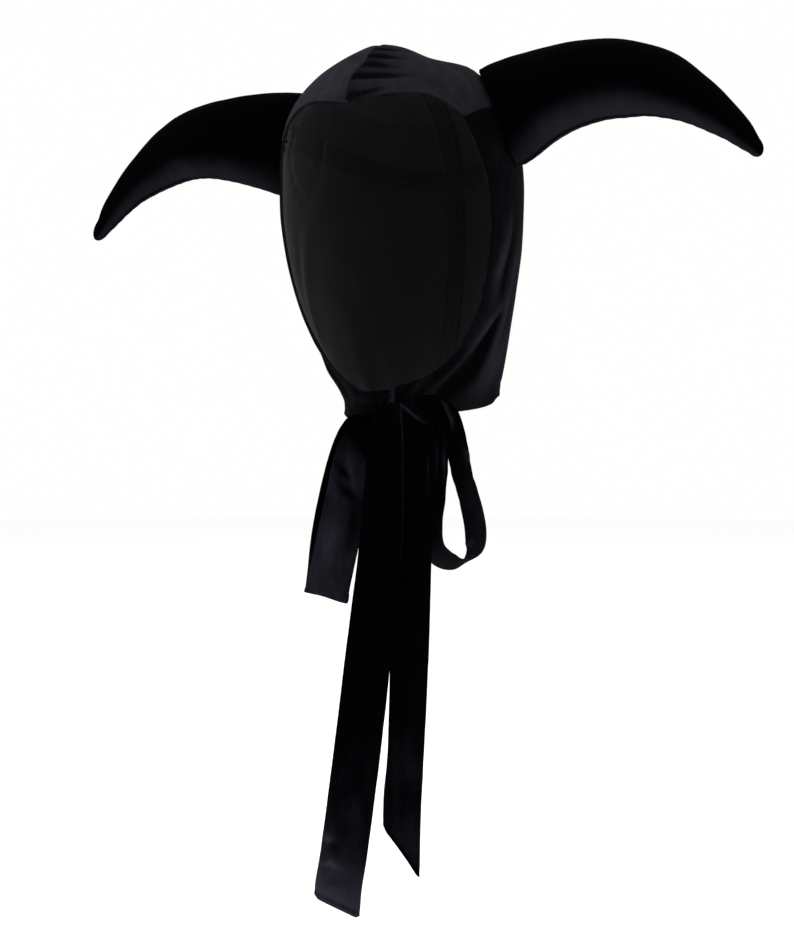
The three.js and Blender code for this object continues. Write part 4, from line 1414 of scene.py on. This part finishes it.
@dataclass
class StuffedHorn:
    """A horn of two velvet pieces, sewn along its upper and lower edges and stuffed."""

    form: HoodForm
    wardrobe: Wardrobe
    rings: int = 104
    sides: int = 60
    base_rings: int = 7
    tip_rings: int = 7
    seat_clearance: float = 0.45
    leaving_level: float = 1.012
    base_girth: float = 150.0
    tip_girth: float = 40.0
    pleats_round: int = 22
    ROWS = Table(
        "top_x top_y top_z low_x low_y low_z deep",
        [
            (44, -8, -18, 68, 7, -80, 20), (60, -9, -14.5, 79, 4, -77.5, 22.5),
            (80, -13, -12.2, 90, -3, -75.3, 24), (102, -20, -13, 106, -14, -70.3, 24),
            (123, -25, -14.7, 122, -20, -66.4, 22.5), (143, -24.5, -17, 138, -23.5, -64.5, 21),
            (163, -21.5, -22, 152, -21.5, -64, 19.5), (180, -20, -29.5, 165, -20, -65, 17),
            (194, -20, -41, 178, -20, -68.7, 14.5), (204.5, -21.5, -52, 191, -21.5, -74, 11.5),
            (213, -23, -63.5, 203, -23, -81.7, 9), (220, -24, -74, 212, -24, -88.5, 7),
            (224.5, -25, -83, 218.5, -25, -93.5, 5),
        ],
    )
    SAG = Table(
        "left_top left_low right_top right_low",
        [
            (-1, 2, 0, 0), (-1.6, 2.4, 0, -1.4), (-2, 2.6, 0, -2.2), (-2.2, 3.2, -1, -1.8),
            (-1.6, 2.8, -1.6, -2), (-1.2, 2.4, -2.8, -0.8), (-1, 2.8, -3.6, -0.2), (-1.6, 3, -4, -1),
            (-2.4, 2.4, -2.8, -0.8), (-2.3, 0.6, -2.6, -1), (-2.3, 0.9, -2.2, -2), (-2.3, 1.2, -2.4, -2.6),
            (-2.3, 1.6, -3, -3),
        ],
    )
    TIP = {Side.LEFT: Vector((3.9, -0.4, -5.2)), Side.RIGHT: Vector((-7.4, -0.4, -8.0))}

    def section(self, side: Side, at: float, turn: float) -> Vector:
        """Find a point of the horn's skin.

        Args:
            side: The wearer's side.
            at: The row number along the horn.
            turn: The turn round it in radians, 0 on its upper edge.

        Returns:
            The point in millimetres.
        """
        read = functools.partial(self.ROWS.read, at=at)
        top_sag = self.SAG.read(f"{side.word}_top", at)
        low_sag = self.SAG.read(f"{side.word}_low", at)
        top = Vector((read("top_x"), read("top_y"), read("top_z") + top_sag))
        low = Vector((read("low_x"), read("low_y"), read("low_z") + low_sag))
        point = low.lerp(top, (1 + math.cos(turn)) / 2)
        point.y -= math.sin(turn) * read("deep")
        point.x *= side.value
        return point

    def leaves_hood(self, side: Side, turn: float) -> float:
        """Find where a line along the horn comes out of the hood.

        Args:
            side: The wearer's side.
            turn: The line's turn round the horn.

        Returns:
            The row number.
        """

        def is_inside(at: float) -> bool:
            """Say whether the line is inside the hood at a row number, or only just out of it."""
            return self.form.level(self.section(side, at, turn)) < self.leaving_level

        return last_where(is_inside, 0.0, 3.0, rounds=24)

    def turn_at(self, number: int) -> float:
        """Return the turn of one of the lines along the horn."""
        return 2 * math.pi * number / self.sides

    def seat(self, side: Side) -> list[Vector]:
        """Return the closed line on the hood along which the horn is sewn on."""
        turns = [self.turn_at(j) for j in range(self.sides)]
        return [self.section(side, self.leaves_hood(side, turn), turn) for turn in turns]

    def build(self, side: Side) -> bpy.types.Object:
        """Build the horn of one side.

        Args:
            side: The wearer's side.

        Returns:
            The piece.
        """
        starts = [self.leaves_hood(side, self.turn_at(j)) for j in range(self.sides)]
        tip_ring = self.base_rings + self.rings
        rows = tip_ring + self.tip_rings
        last = float(self.ROWS.last)
        seat = self.seat(side)
        centre = sum(seat, Vector()) / self.sides
        end = self.section(side, last, 0.0).lerp(self.section(side, last, math.pi), 0.5)

        def place(down: float, across: float) -> Vector:
            """Lay a point of the skin: first the seat on the hood, then the length, then the tip."""
            i = round(down * rows)
            j = round(across * self.sides) % self.sides
            turn = self.turn_at(j)
            if i < self.base_rings:
                return self.form.onto(centre.lerp(seat[j], i / self.base_rings * 0.985), self.seat_clearance)
            if i <= tip_ring:
                share = (i - self.base_rings) / self.rings
                at = lerp(starts[j], last, share + 0.1 * math.sin(2 * math.pi * share) / (2 * math.pi))
                point = self.section(side, at, turn)
                return self.form.onto(point, self.seat_clearance) if i == self.base_rings else point
            roll = (i - self.base_rings - self.rings) / self.tip_rings * math.pi / 2
            rim = self.section(side, last, turn)
            return end.lerp(rim, math.cos(roll)) + self.TIP[side] * math.sin(roll)

        def lift(spot: Spot) -> float:
            """Shape the seams, the puckers at the base and the lumps of the stuffing, at a spot."""
            base = spot.down * rows - self.base_rings
            if base < 0:
                return 0.0
            turn = 2 * math.pi * spot.across
            share = base / self.rings
            girth = lerp(self.base_girth, self.tip_girth, share)
            from_top = min(spot.across, 1 - spot.across) * girth
            from_low = abs(spot.across - 0.5) * girth
            seams = -0.5 * bell(from_top, 1.6) - 0.5 * bell(from_low, 1.6)
            draw = 0.12 * math.cos(2 * math.pi * spot.to_top / 7.5) * bell(from_low - 4.0, 4.0)
            base_in = -1.3 * bell(base, 2.2)
            pleat = 0.45 * math.cos(self.pleats_round * turn) * bell(base - 2.0, 4.0)
            fade = 1.0 - smoothstep(share, 0.93, 1.0)
            soft = 0.9 * lumps(spot.point, 34.0, 4.0) + 0.35 * lumps(spot.point, 14.0, 6.0)
            return base_in + pleat + (seams + draw + soft) * fade

        def painted_shading_and_tone(spot: Spot) -> float:
            """Paint light and shade at a spot: painted light in a grey band along the underside, black above,
            and the lower seam kept dark.
            """
            from_low = abs(spot.across - 0.5)
            base = smoothstep(spot.down, 0.08, 0.3)
            tip = smoothstep(spot.down, 0.6, 0.95)
            reach = 0.22 + 0.03 * base + 0.05 * tip if side is Side.LEFT else 0.25 + 0.02 * tip
            band = 1.0 - smoothstep(from_low, 0.25 * reach, reach)
            seam = bell(from_low, 0.012)
            full = 0.44 if side is Side.LEFT else 0.39
            level = (full + 0.06 * base - 0.05 * tip) * band * (1 - 0.8 * seam)
            return level + 0.04 * lumps(spot.point, 24.0, 8.0)

        grid = ClothGrid(rows, self.sides, place)
        grid.face_outwards(Vector((side.value * 120, -22, -41)))
        grid.dress(lift, painted_shading_and_tone)
        grid.close(0.02)
        name, node = f"stuffed_horn_{side.word}", f"horn_{side.word}"
        piece = make_piece(grid.mesh, name, [node], [self.wardrobe.horn])
        round_off(piece)
        return piece


class Held(Enum):
    """How a length of ribbon is held, in the words of the table of sheets."""

    FOLDED = "folded"
    HUNG = "hung"


@dataclass(frozen=True)
class RibbonCut:
    """How one length of the tie runs and is cut."""

    name: str
    node: str
    route: Table
    steps: int
    slant: float
    flat: tuple[float, float]
    held: Held
    pleats: float
    # Painted light and shade along the length, read evenly spaced from end to end.
    painted_shading_and_tone: tuple[float, ...]
    creases: tuple[Fold, ...]
    creased_from: float = 0.0
    hem_mm: float = 3.2

    def painted_shading_and_tone_at(self, share: float) -> float:
        """Read the painted light and shade at a share of the length.

        Args:
            share: Share of the length.

        Returns:
            The painted shading, from 0 for black to 1 for grey.
        """
        at = min(max(share, 0.0), 1.0) * (len(self.painted_shading_and_tone) - 1)
        i = min(int(at), len(self.painted_shading_and_tone) - 2)
        return lerp(self.painted_shading_and_tone[i], self.painted_shading_and_tone[i + 1], at - i)

    def crease_at(self, spot: Spot) -> float:
        """Return the lift of the ribbon's creases at a spot, towards the front."""
        if spot.down < self.creased_from:
            return 0.0
        return sum(fold.lift(spot.point.x, spot.point.z) for fold in self.creases)

    def hem_at(self, spot: Spot, reach: float) -> float:
        """Return 1 on the hem's stitching line at the end of a tail, and 0 away from it."""
        return bell(spot.to_foot - self.hem_mm, reach) if self.held is Held.HUNG else 0.0


class Bow:
    """The ties: two loops, two tails and the knot that holds them, turned to the wearer's left."""

    TURN = math.radians(24)
    CENTRE = Vector((22, -54.5, -229))
    WIDTH = 27.5
    THICKNESS = 2.0
    AROUND = 44
    FINE_STEPS = 600
    CORNER = 1.8
    END_ROUNDING = 1.6
    KNOT_REACH = 22.0
    KNOT_GRID = (72, 120)
    COLUMNS = "x y z bearing rise width"
    TAIL_LEFT = Table(
        COLUMNS,
        [
            (1.5, -4, 4, -8, 0, 0.12), (3, -9, 1, -8, 0, 0.22), (6.4, -11.5, -4, -8, 0, 0.46),
            (10.0, -12, -12, -12, 0, 0.78), (11, -11.5, -26, -18, 0, 0.79), (10.6, -12, -50, -28, 0, 0.84),
            (9, -12.5, -80, -36, 0, 0.95), (7, -13, -135, -36, 0, 1), (4.5, -14, -200, -40, 0, 1),
            (2.4, -15.5, -232, -38, -2, 1), (1.6, -19, -272, -38, -4, 1),
        ],
    )
    TAIL_RIGHT = Table(
        COLUMNS,
        [
            (-1, -4, 4, -8, 0, 0.12), (-2.5, -10.5, 1, -8, 0, 0.26), (-5.6, -13, -5, -8, 0, 0.5),
            (-7.6, -14, -13, -10, 0, 0.75), (-8, -14.5, -26, -10, 0, 0.78), (-9, -16, -54, -8, 0, 0.86),
            (-11, -16, -87, -5, 0, 0.93), (-17.5, -16, -143, 0, 0, 0.98), (-24, -16, -199, 0, 0, 1),
            (-31.4, -17, -256, 0, 0, 1), (-34.6, -21, -276, -2, 0, 1), (-36, -27, -293, -3, 0, 1),
        ],
    )
    LOOP_RIGHT = Table(
        COLUMNS,
        [
            (-8, -3, 1, 30, 60, 0.5), (-17, 1, -1, 20, 44, 0.62), (-24, 4, -10, 14, 24, 0.74),
            (-29, 6, -24, 14, 6, 0.86), (-33.5, 6.5, -45, 14, 0, 0.96), (-38.5, 6.5, -74, 0, 0, 1),
            (-41.8, 5, -100, -14, -10, 1), (-43, 1.5, -110.5, -18, -16, 1), (-42.2, -3.5, -107, -20, -16, 1),
            (-37.2, -7, -83, -20, -15, 1), (-30.9, -8, -54, -14, -13, 0.96), (-24.6, -8, -25, -8, -10, 0.86),
            (-14, -4.5, -9, 0, 0, 0.6),
        ],
    )
    LOOP_LEFT = Table(
        COLUMNS,
        [
            (9, 0, 1, -10, 70, 0.5), (19, 4, 1, -24, 44, 0.66), (28, 7, -4, -40, 24, 0.74),
            (35, 7, -20, -58, 12, 0.8), (38.5, 5, -38, -66, 6, 0.9), (43, 3, -54, -68, 6, 1),
            (46.5, 2, -72, -68, 8, 1), (45, 1.5, -85, -68, 14, 1), (36, 1.5, -92, -68, 20, 1),
            (25, 1.5, -89, -66, 18, 1), (18.5, 1.5, -77, -62, 10, 1), (21, 1, -44, -58, 4, 0.92),
            (20.5, -1.5, -20, -42, 4, 0.76), (12, -2.5, -8, -10, 10, 0.5),
        ],
    )
    CREASES_RIGHT_LOOP = folds(
        None,
        1.0,
        ((-23, -1, -1.9, 8), (-21.5, -12, -2.2, 6.8), (-17, -24, -1.6, 4)),
        ((-39, -29, 0, 2), (-32.7, -38, -1.1, 2.8), (-25, -46, 0, 2)),
        ((-39, -40, 0, 2), (-31, -49, -1, 3), (-23, -55, 0, 2)),
        ((-27, -44, 0, 3), (-24, -57, -0.8, 4.6), (-26, -74, -0.8, 5.5), (-32, -90, 0, 6)),
        ((-31, -24, 0, 1.6), (-27.5, -42, 0.5, 1.6), (-23.5, -66, 0, 1.6)),
        ((-37, -62, 0, 3), (-40, -80, 0.25, 4), (-43, -98, 0, 4)),
    )
    CREASES_LEFT_LOOP = folds(
        None,
        1.0,
        ((11.5, -2.5, 0, 1), (15.5, -5.5, 2.2, 1), (18.5, -9.5, 0, 1)),
        ((22, 8, 0, 1.2), (27.5, 3, 0.9, 1.3), (32, -6, 1.2, 1.3), (34, -18, 0, 1.2)),
        ((24, 2, 0, 1.6), (27.5, -6, -1, 1.8), (29, -18, 0, 1.6)),
        ((38, -18, 0, 2), (40.5, -27, 0.9, 2), (41, -38, 0, 2)),
        ((38, -79, 0, 1.5), (43, -82, 1.2, 1.5), (46, -77, 0, 1.5)),
        ((22, -12, 0, 1), (23, -30, 1.1, 1.1), (23, -50, 0, 1)),
        ((26.5, -14, 0, 1), (27, -32, 1.1, 1.1), (26.5, -52, 0, 1)),
    )
    CREASES_RIGHT_TAIL = folds(
        None,
        1.0,
        ((-13, -8, 0, 2), (-11, -24, -0.7, 2.2), (-13, -52, 0, 2.2)),
        ((2, -10, 0.5, 0.8), (2.7, -26, 1.1, 0.8), (2.8, -54, 1, 0.9), (1.8, -87, 0.5, 1), (-1, -115, 0, 1)),
        ((-46, -246, 0, 2), (-41, -251, 0.8, 2), (-36, -249, 0, 2)),
        ((-43, -259, 0, 2.6), (-38, -256, -0.5, 2.6), (-32, -260, 0, 2.6)),
        ((-47, -266, 0, 1.5), (-40, -264, 0.8, 1.6), (-31, -269, 0, 1.5)),
        ((-46, -277, 0, 2.4), (-38, -274, -0.5, 2.4), (-28, -279, 0, 2.4)),
    )
    CREASES_LEFT_TAIL = folds(
        None,
        1.0,
        ((0, 3, 0.5, 0.9), (9, -4.5, 1, 1), (17.5, -10.5, 0.6, 0.9)),
        ((5, -8, -0.6, 2.4), (10, -12, -1, 2.6), (14, -16, 0, 2.4)),
        ((1, 1, 0.5, 0.9), (1.4, -8, 0.9, 0.9), (1.6, -20, 0.9, 1)),
        ((9, -18, 0, 2), (11, -40, -0.7, 2.4), (9, -74, 0, 2.4)),
        ((16.5, -16, 0, 1), (17.5, -36, 0.9, 1.1), (16, -70, 0, 1.2)),
    )

    def __init__(self, wardrobe: Wardrobe) -> None:
        """Keep the finishes, and the bow's place on the hood."""
        self.wardrobe = wardrobe
        self.place_on_hood = Matrix.Translation(self.CENTRE) @ Matrix.Rotation(self.TURN, 4, "Z")

    def cuts(self) -> list[RibbonCut]:
        """List the four lengths of ribbon.

        Returns:
            The two loops and the two tails.
        """
        wide = self.WIDTH * METRES
        return [
            RibbonCut(
                name="bow_ribbon_right",
                node="bow_loop_right",
                route=self.LOOP_RIGHT,
                steps=190,
                slant=0,
                flat=(wide, 0.25),
                held=Held.FOLDED,
                pleats=0.9,
                painted_shading_and_tone=(0.1, 0.04, 0.03, 0.03, 0.1, 0.33, 0.32, 0.28, 0.3, 0.24, 0.05),
                creases=self.CREASES_RIGHT_LOOP,
                creased_from=0.5,
            ),
            RibbonCut(
                name="bow_ribbon_left",
                node="bow_loop_left",
                route=self.LOOP_LEFT,
                steps=190,
                slant=0,
                flat=(wide, 0.25),
                held=Held.FOLDED,
                pleats=1.1,
                painted_shading_and_tone=(0.12, 0.1, 0.12, 0.2, 0.24, 0.26, 0.3, 0.2, 0.12, 0.1, 0.1),
                creases=self.CREASES_LEFT_LOOP,
            ),
            RibbonCut(
                name="tail_ribbon_right",
                node="tie_tail_right",
                route=self.TAIL_RIGHT,
                steps=210,
                slant=10,
                flat=(wide, 0.285),
                held=Held.HUNG,
                pleats=0.9,
                painted_shading_and_tone=(0.1, 0.0, 0.0, 0.0, 0.0, 0.0, 0.04, 0.1, 0.16, 0.24, 0.5),
                creases=self.CREASES_RIGHT_TAIL,
            ),
            RibbonCut(
                name="tail_ribbon_left",
                node="tie_tail_left",
                route=self.TAIL_LEFT,
                steps=200,
                slant=25,
                flat=(wide, 0.265),
                held=Held.HUNG,
                pleats=0.9,
                painted_shading_and_tone=(0.14, 0.04, 0.03, 0.0, 0.0, 0.02, 0.06, 0.12, 0.16, 0.2, 0.2),
                creases=self.CREASES_LEFT_TAIL,
            ),
        ]

    def ribbon(self, cut: RibbonCut) -> bpy.types.Object:
        """Sweep one length of ribbon, a flat tube with soft edges.

        Args:
            cut: How the ribbon runs and is cut.

        Returns:
            The piece.
        """
        last, fine = float(cut.route.last), self.FINE_STEPS
        marks = running_lengths([cut.route.vector(last * i / fine) for i in range(fine + 1)])
        total = marks[-1]

        def at_length(length: float) -> float:
            """Return the row number at a length along the ribbon."""
            i = min(max(bisect.bisect_left(marks, length), 1), fine)
            return last * (i - 1 + (length - marks[i - 1]) / (marks[i] - marks[i - 1])) / fine

        def place(down: float, across: float) -> Vector:
            """Lay a point of the tube round the ribbon's route, for a share along it and a share round it."""
            turn = 2 * math.pi * across
            turn += 0.15 * math.sin(2 * turn)
            share = math.cos(turn)
            corner = self.CORNER * smoothstep(abs(share), 0.82, 1.0) if cut.held is Held.HUNG else 0.0
            length = down * (total - cut.slant * (1 - share) / 2 - corner)
            at = at_length(length)
            read = functools.partial(cut.route.read, at=at)
            middle = cut.route.vector(at)
            ahead, behind = cut.route.vector(min(at + 0.05, last)), cut.route.vector(max(at - 0.05, 0.0))
            along = (ahead - behind).normalized()
            bearing, rise = math.radians(read("bearing")), math.radians(read("rise"))
            level = math.cos(rise)
            width = Vector((math.cos(bearing) * level, math.sin(bearing) * level, math.sin(rise)))
            width = (width - along * width.dot(along)).normalized()
            normal = along.cross(width).normalized()
            half = self.WIDTH / 2 * read("width")
            thin = min(1.0, min(down, 1 - down) * total / self.END_ROUNDING) ** 0.5
            thick = math.copysign(abs(math.sin(turn)) ** 0.4, math.sin(turn)) * self.THICKNESS / 2 * thin
            near = bell(length, self.KNOT_REACH)
            near += bell(total - length, self.KNOT_REACH) if cut.held is Held.FOLDED else 0.0
            pleat = cut.pleats * near * read("width") * math.cos(3.2 * math.pi * share + 0.4)
            cup = 1.2 * (share * share - 0.4)
            sway = 0.5 * lumps(middle, 30.0, 2.0 + half) * share
            return middle + width * half * share + normal * (thick + pleat + cup + sway)

        def lift(spot: Spot) -> float:
            """Crease the ribbon at a spot, both of its faces the same way, and press its hem."""
            forward = -min(max(spot.normal.y * 2, -1.0), 1.0)
            creased = cut.crease_at(spot) * forward
            return 0.12 * lumps(spot.point, 9.0) - 0.25 * cut.hem_at(spot, 0.9) + creased

        def painted_shading_and_tone(spot: Spot) -> float:
            """Paint light and shade at a spot: a painted highlight where a crease stands out, painted shade
            where one is pressed in, and the hem kept dark.
            """
            from_edge = min(abs(spot.across - 0.5), spot.across, 1.0 - spot.across)
            raised = cut.crease_at(spot)
            creased = (0.26 if raised > 0 else 0.15) * raised
            # Along the folded edges: partly wear of the pile, partly a painted highlight.
            edge_wear_and_highlight = 0.05 * bell(from_edge, 0.03)
            uneven = 0.06 * lumps(spot.point, 22.0, 7.0)
            return cut.painted_shading_and_tone_at(spot.down) + creased + edge_wear_and_highlight - 0.16 * cut.hem_at(spot, 1.1) + uneven

        grid = ClothGrid(cut.steps, self.AROUND, place)
        ring = grid.table[cut.steps // 2]
        grid.face_outwards(ring[self.AROUND // 4].co.lerp(ring[3 * self.AROUND // 4].co, 0.5))
        grid.dress(lift, painted_shading_and_tone)
        piece = self._tie_on(grid, 0.01, cut.name, cut.node)
        return piece

    def knot(self) -> bpy.types.Object:
        """Build the knot, several turns of ribbon drawn tight into folds.

        Returns:
            The piece.
        """

        def place(down: float, across: float) -> Vector:
            """Lay a point of the knot on its cushion, which is narrow at the top and flares below."""
            tilt = math.pi * down
            turn = 2 * math.pi * across
            p = Vector((math.sin(tilt) * math.cos(turn), math.sin(tilt) * math.sin(turn), math.cos(tilt)))
            cube = 1.0 / (abs(p.x) ** 3 + abs(p.y) ** 3 + abs(p.z) ** 3) ** (1 / 3)
            p *= lerp(1.0, cube, 0.7)
            flare = lerp(12.0, 8.5, smoothstep(p.z, -0.6, 0.9))
            depth = 12.0 if p.y > 0 else 8.2
            return Vector((p.x * flare - 1.5, p.y * depth, p.z * 11.0 + 0.5))

        def wraps(p: Vector) -> float:
            """Return the height of the wraps' folds at a point, which run down from the top and fan out."""
            fan = (p.x + 2.0) / lerp(12.5, 8.0, smoothstep(p.z, -11.0, 9.0))
            return (1.0 - 2.0 * abs(math.sin(3.4 * fan + 0.5)) ** 0.7) * (1.0 if p.y < 3 else 0.4)

        def lift(spot: Spot) -> float:
            """Draw the folds of the wraps at a spot."""
            return 0.7 * wraps(spot.point) + 0.35 * lumps(spot.point, 7.0)

        def painted_shading_and_tone(spot: Spot) -> float:
            """Shade a spot: one wrap in the middle catches the light, and the rest is nearly black."""
            p = spot.point
            light = 0.17 * bell(p.x + 4.5, 3.2) * smoothstep(p.z, -5, 3)
            return 0.1 + 0.08 * wraps(p) + light + 0.06 * lumps(p, 8.0)

        grid = ClothGrid(*self.KNOT_GRID, place)
        grid.face_outwards(Vector())
        grid.dress(lift, painted_shading_and_tone)
        piece = self._tie_on(grid, 0.02, "knot_wraps", "bow_knot")
        return piece

    def _tie_on(self, grid: ClothGrid, merging: float, name: str, node: str) -> bpy.types.Object:
        """Put a shaped length of the tie in its place on the hood.

        Args:
            grid: The closed shape, in the bow's own frame.
            merging: How near points that are merged lie, in millimetres.
            name: The piece's name.
            node: The part's node that it stands for.

        Returns:
            The piece.
        """
        bmesh.ops.transform(grid.mesh, matrix=self.place_on_hood, verts=grid.mesh.verts)
        grid.close(merging)
        piece = make_piece(grid.mesh, name, [node], [self.wardrobe.tie])
        round_off(piece)
        return piece

    def build(self) -> list[bpy.types.Object]:
        """Build the knot and the four lengths of ribbon."""
        return [self.knot(), *(self.ribbon(cut) for cut in self.cuts())]


@dataclass
class Studio:
    """A pale floor, soft light from all round, and the camera at the portrait's angle."""

    floor_z: float = -0.540
    floor_radius: float = 6.0
    yaw: float = math.radians(24)
    distance: float = 0.700
    side_step: float = -0.003
    height: float = -0.268
    sensor: float = 36.0
    focal_pixels: float = 1075.0
    frame_pixels: float = 949.0
    LAMPS_FACE = Vector((0, 0, -0.15))

    def floor(self) -> bpy.types.Object:
        """Lay the floor.

        Returns:
            The floor, which is not part of the hood.
        """
        mesh = bmesh.new()
        bmesh.ops.create_circle(mesh, cap_ends=True, cap_tris=True, segments=96, radius=self.floor_radius)
        bmesh.ops.translate(mesh, vec=Vector((0, 0, self.floor_z)), verts=mesh.verts)
        data = bpy.data.meshes.new("studio_floor")
        mesh.to_mesh(data)
        mesh.free()
        data.materials.append(PaperFinish("studio_paper", "#fcfafa").build())
        floor = add_object("studio_floor", data)
        return floor

    def camera(self) -> bpy.types.Object:
        """Set the camera level, at the head's left front.

        Returns:
            The camera.
        """
        data = bpy.data.cameras.new("portrait_camera")
        data.sensor_width = self.sensor
        data.lens = self.sensor * self.focal_pixels / self.frame_pixels
        data.clip_start, data.clip_end = 0.05, 40.0
        camera = add_object("portrait_camera", data)
        right = Vector((math.cos(self.yaw), math.sin(self.yaw), 0))
        back = Vector((math.sin(self.yaw), -math.cos(self.yaw), 0))
        camera.location = back * self.distance + right * self.side_step + Vector((0, 0, self.height))
        camera.rotation_euler = (math.radians(90), 0.0, self.yaw)
        bpy.context.scene.camera = camera
        return camera

    def lights(self) -> None:
        """Hang three broad soft lamps and fill the room with white light."""
        self._lamp("key_softbox", Vector((-1.1, -1.5, 1.1)), 1.4, 26.0)
        self._lamp("side_softbox", Vector((1.7, -0.5, 0.5)), 1.2, 16.0)
        self._lamp("top_softbox", Vector((0.1, 0.3, 1.6)), 1.4, 14.0)
        world = bpy.data.worlds.new("studio_air")
        bpy.context.scene.world = world
        world.use_nodes = True
        background = world.node_tree.nodes["Background"]
        background.inputs["Color"].default_value = (1.0, 0.995, 0.99, 1.0)
        background.inputs["Strength"].default_value = 1.0
        bpy.context.scene.view_settings.view_transform = "Standard"
        bpy.context.scene.view_settings.look = "None"

    def _lamp(self, name: str, place: Vector, size: float, power: float) -> None:
        """Hang one square soft lamp that faces the hood.

        Args:
            name: The lamp's name.
            place: Where it hangs, in metres.
            size: The length of its side in metres.
            power: Its power in watts.
        """
        data = bpy.data.lights.new(name, "AREA")
        data.shape = "SQUARE"
        data.size = size
        data.energy = power
        lamp = add_object(name, data)
        lamp.location = place
        lamp.rotation_euler = (place - self.LAMPS_FACE).to_track_quat("Z", "Y").to_euler()


def main() -> None:
    """Load the frame, build every piece and log how many faces each has before its modifiers."""
    logging.basicConfig(level=logging.INFO, format="%(relativeCreated)d %(name)s: %(message)s")
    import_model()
    studio = Studio()
    studio.camera()
    studio.floor()
    studio.lights()
    form = HoodForm()
    wardrobe = Wardrobe()
    horn = StuffedHorn(form, wardrobe)
    bow = Bow(wardrobe)
    hood = SewnHood(form, wardrobe, {side: horn.seat(side) for side in Side}, bow.place_on_hood)
    hood.middle_seam()
    for side in Side:
        hood.crown_seam(side)
        hood.crown(side)
        hood.panel(side)
        hood.face_edge(side)
        hood.neck_edge(side)
        horn.build(side)
    for piece in bow.build():
        LOG.info("%s is tied", piece.name)
    bpy.context.view_layer.update()


if __name__ == "__main__":
    main()
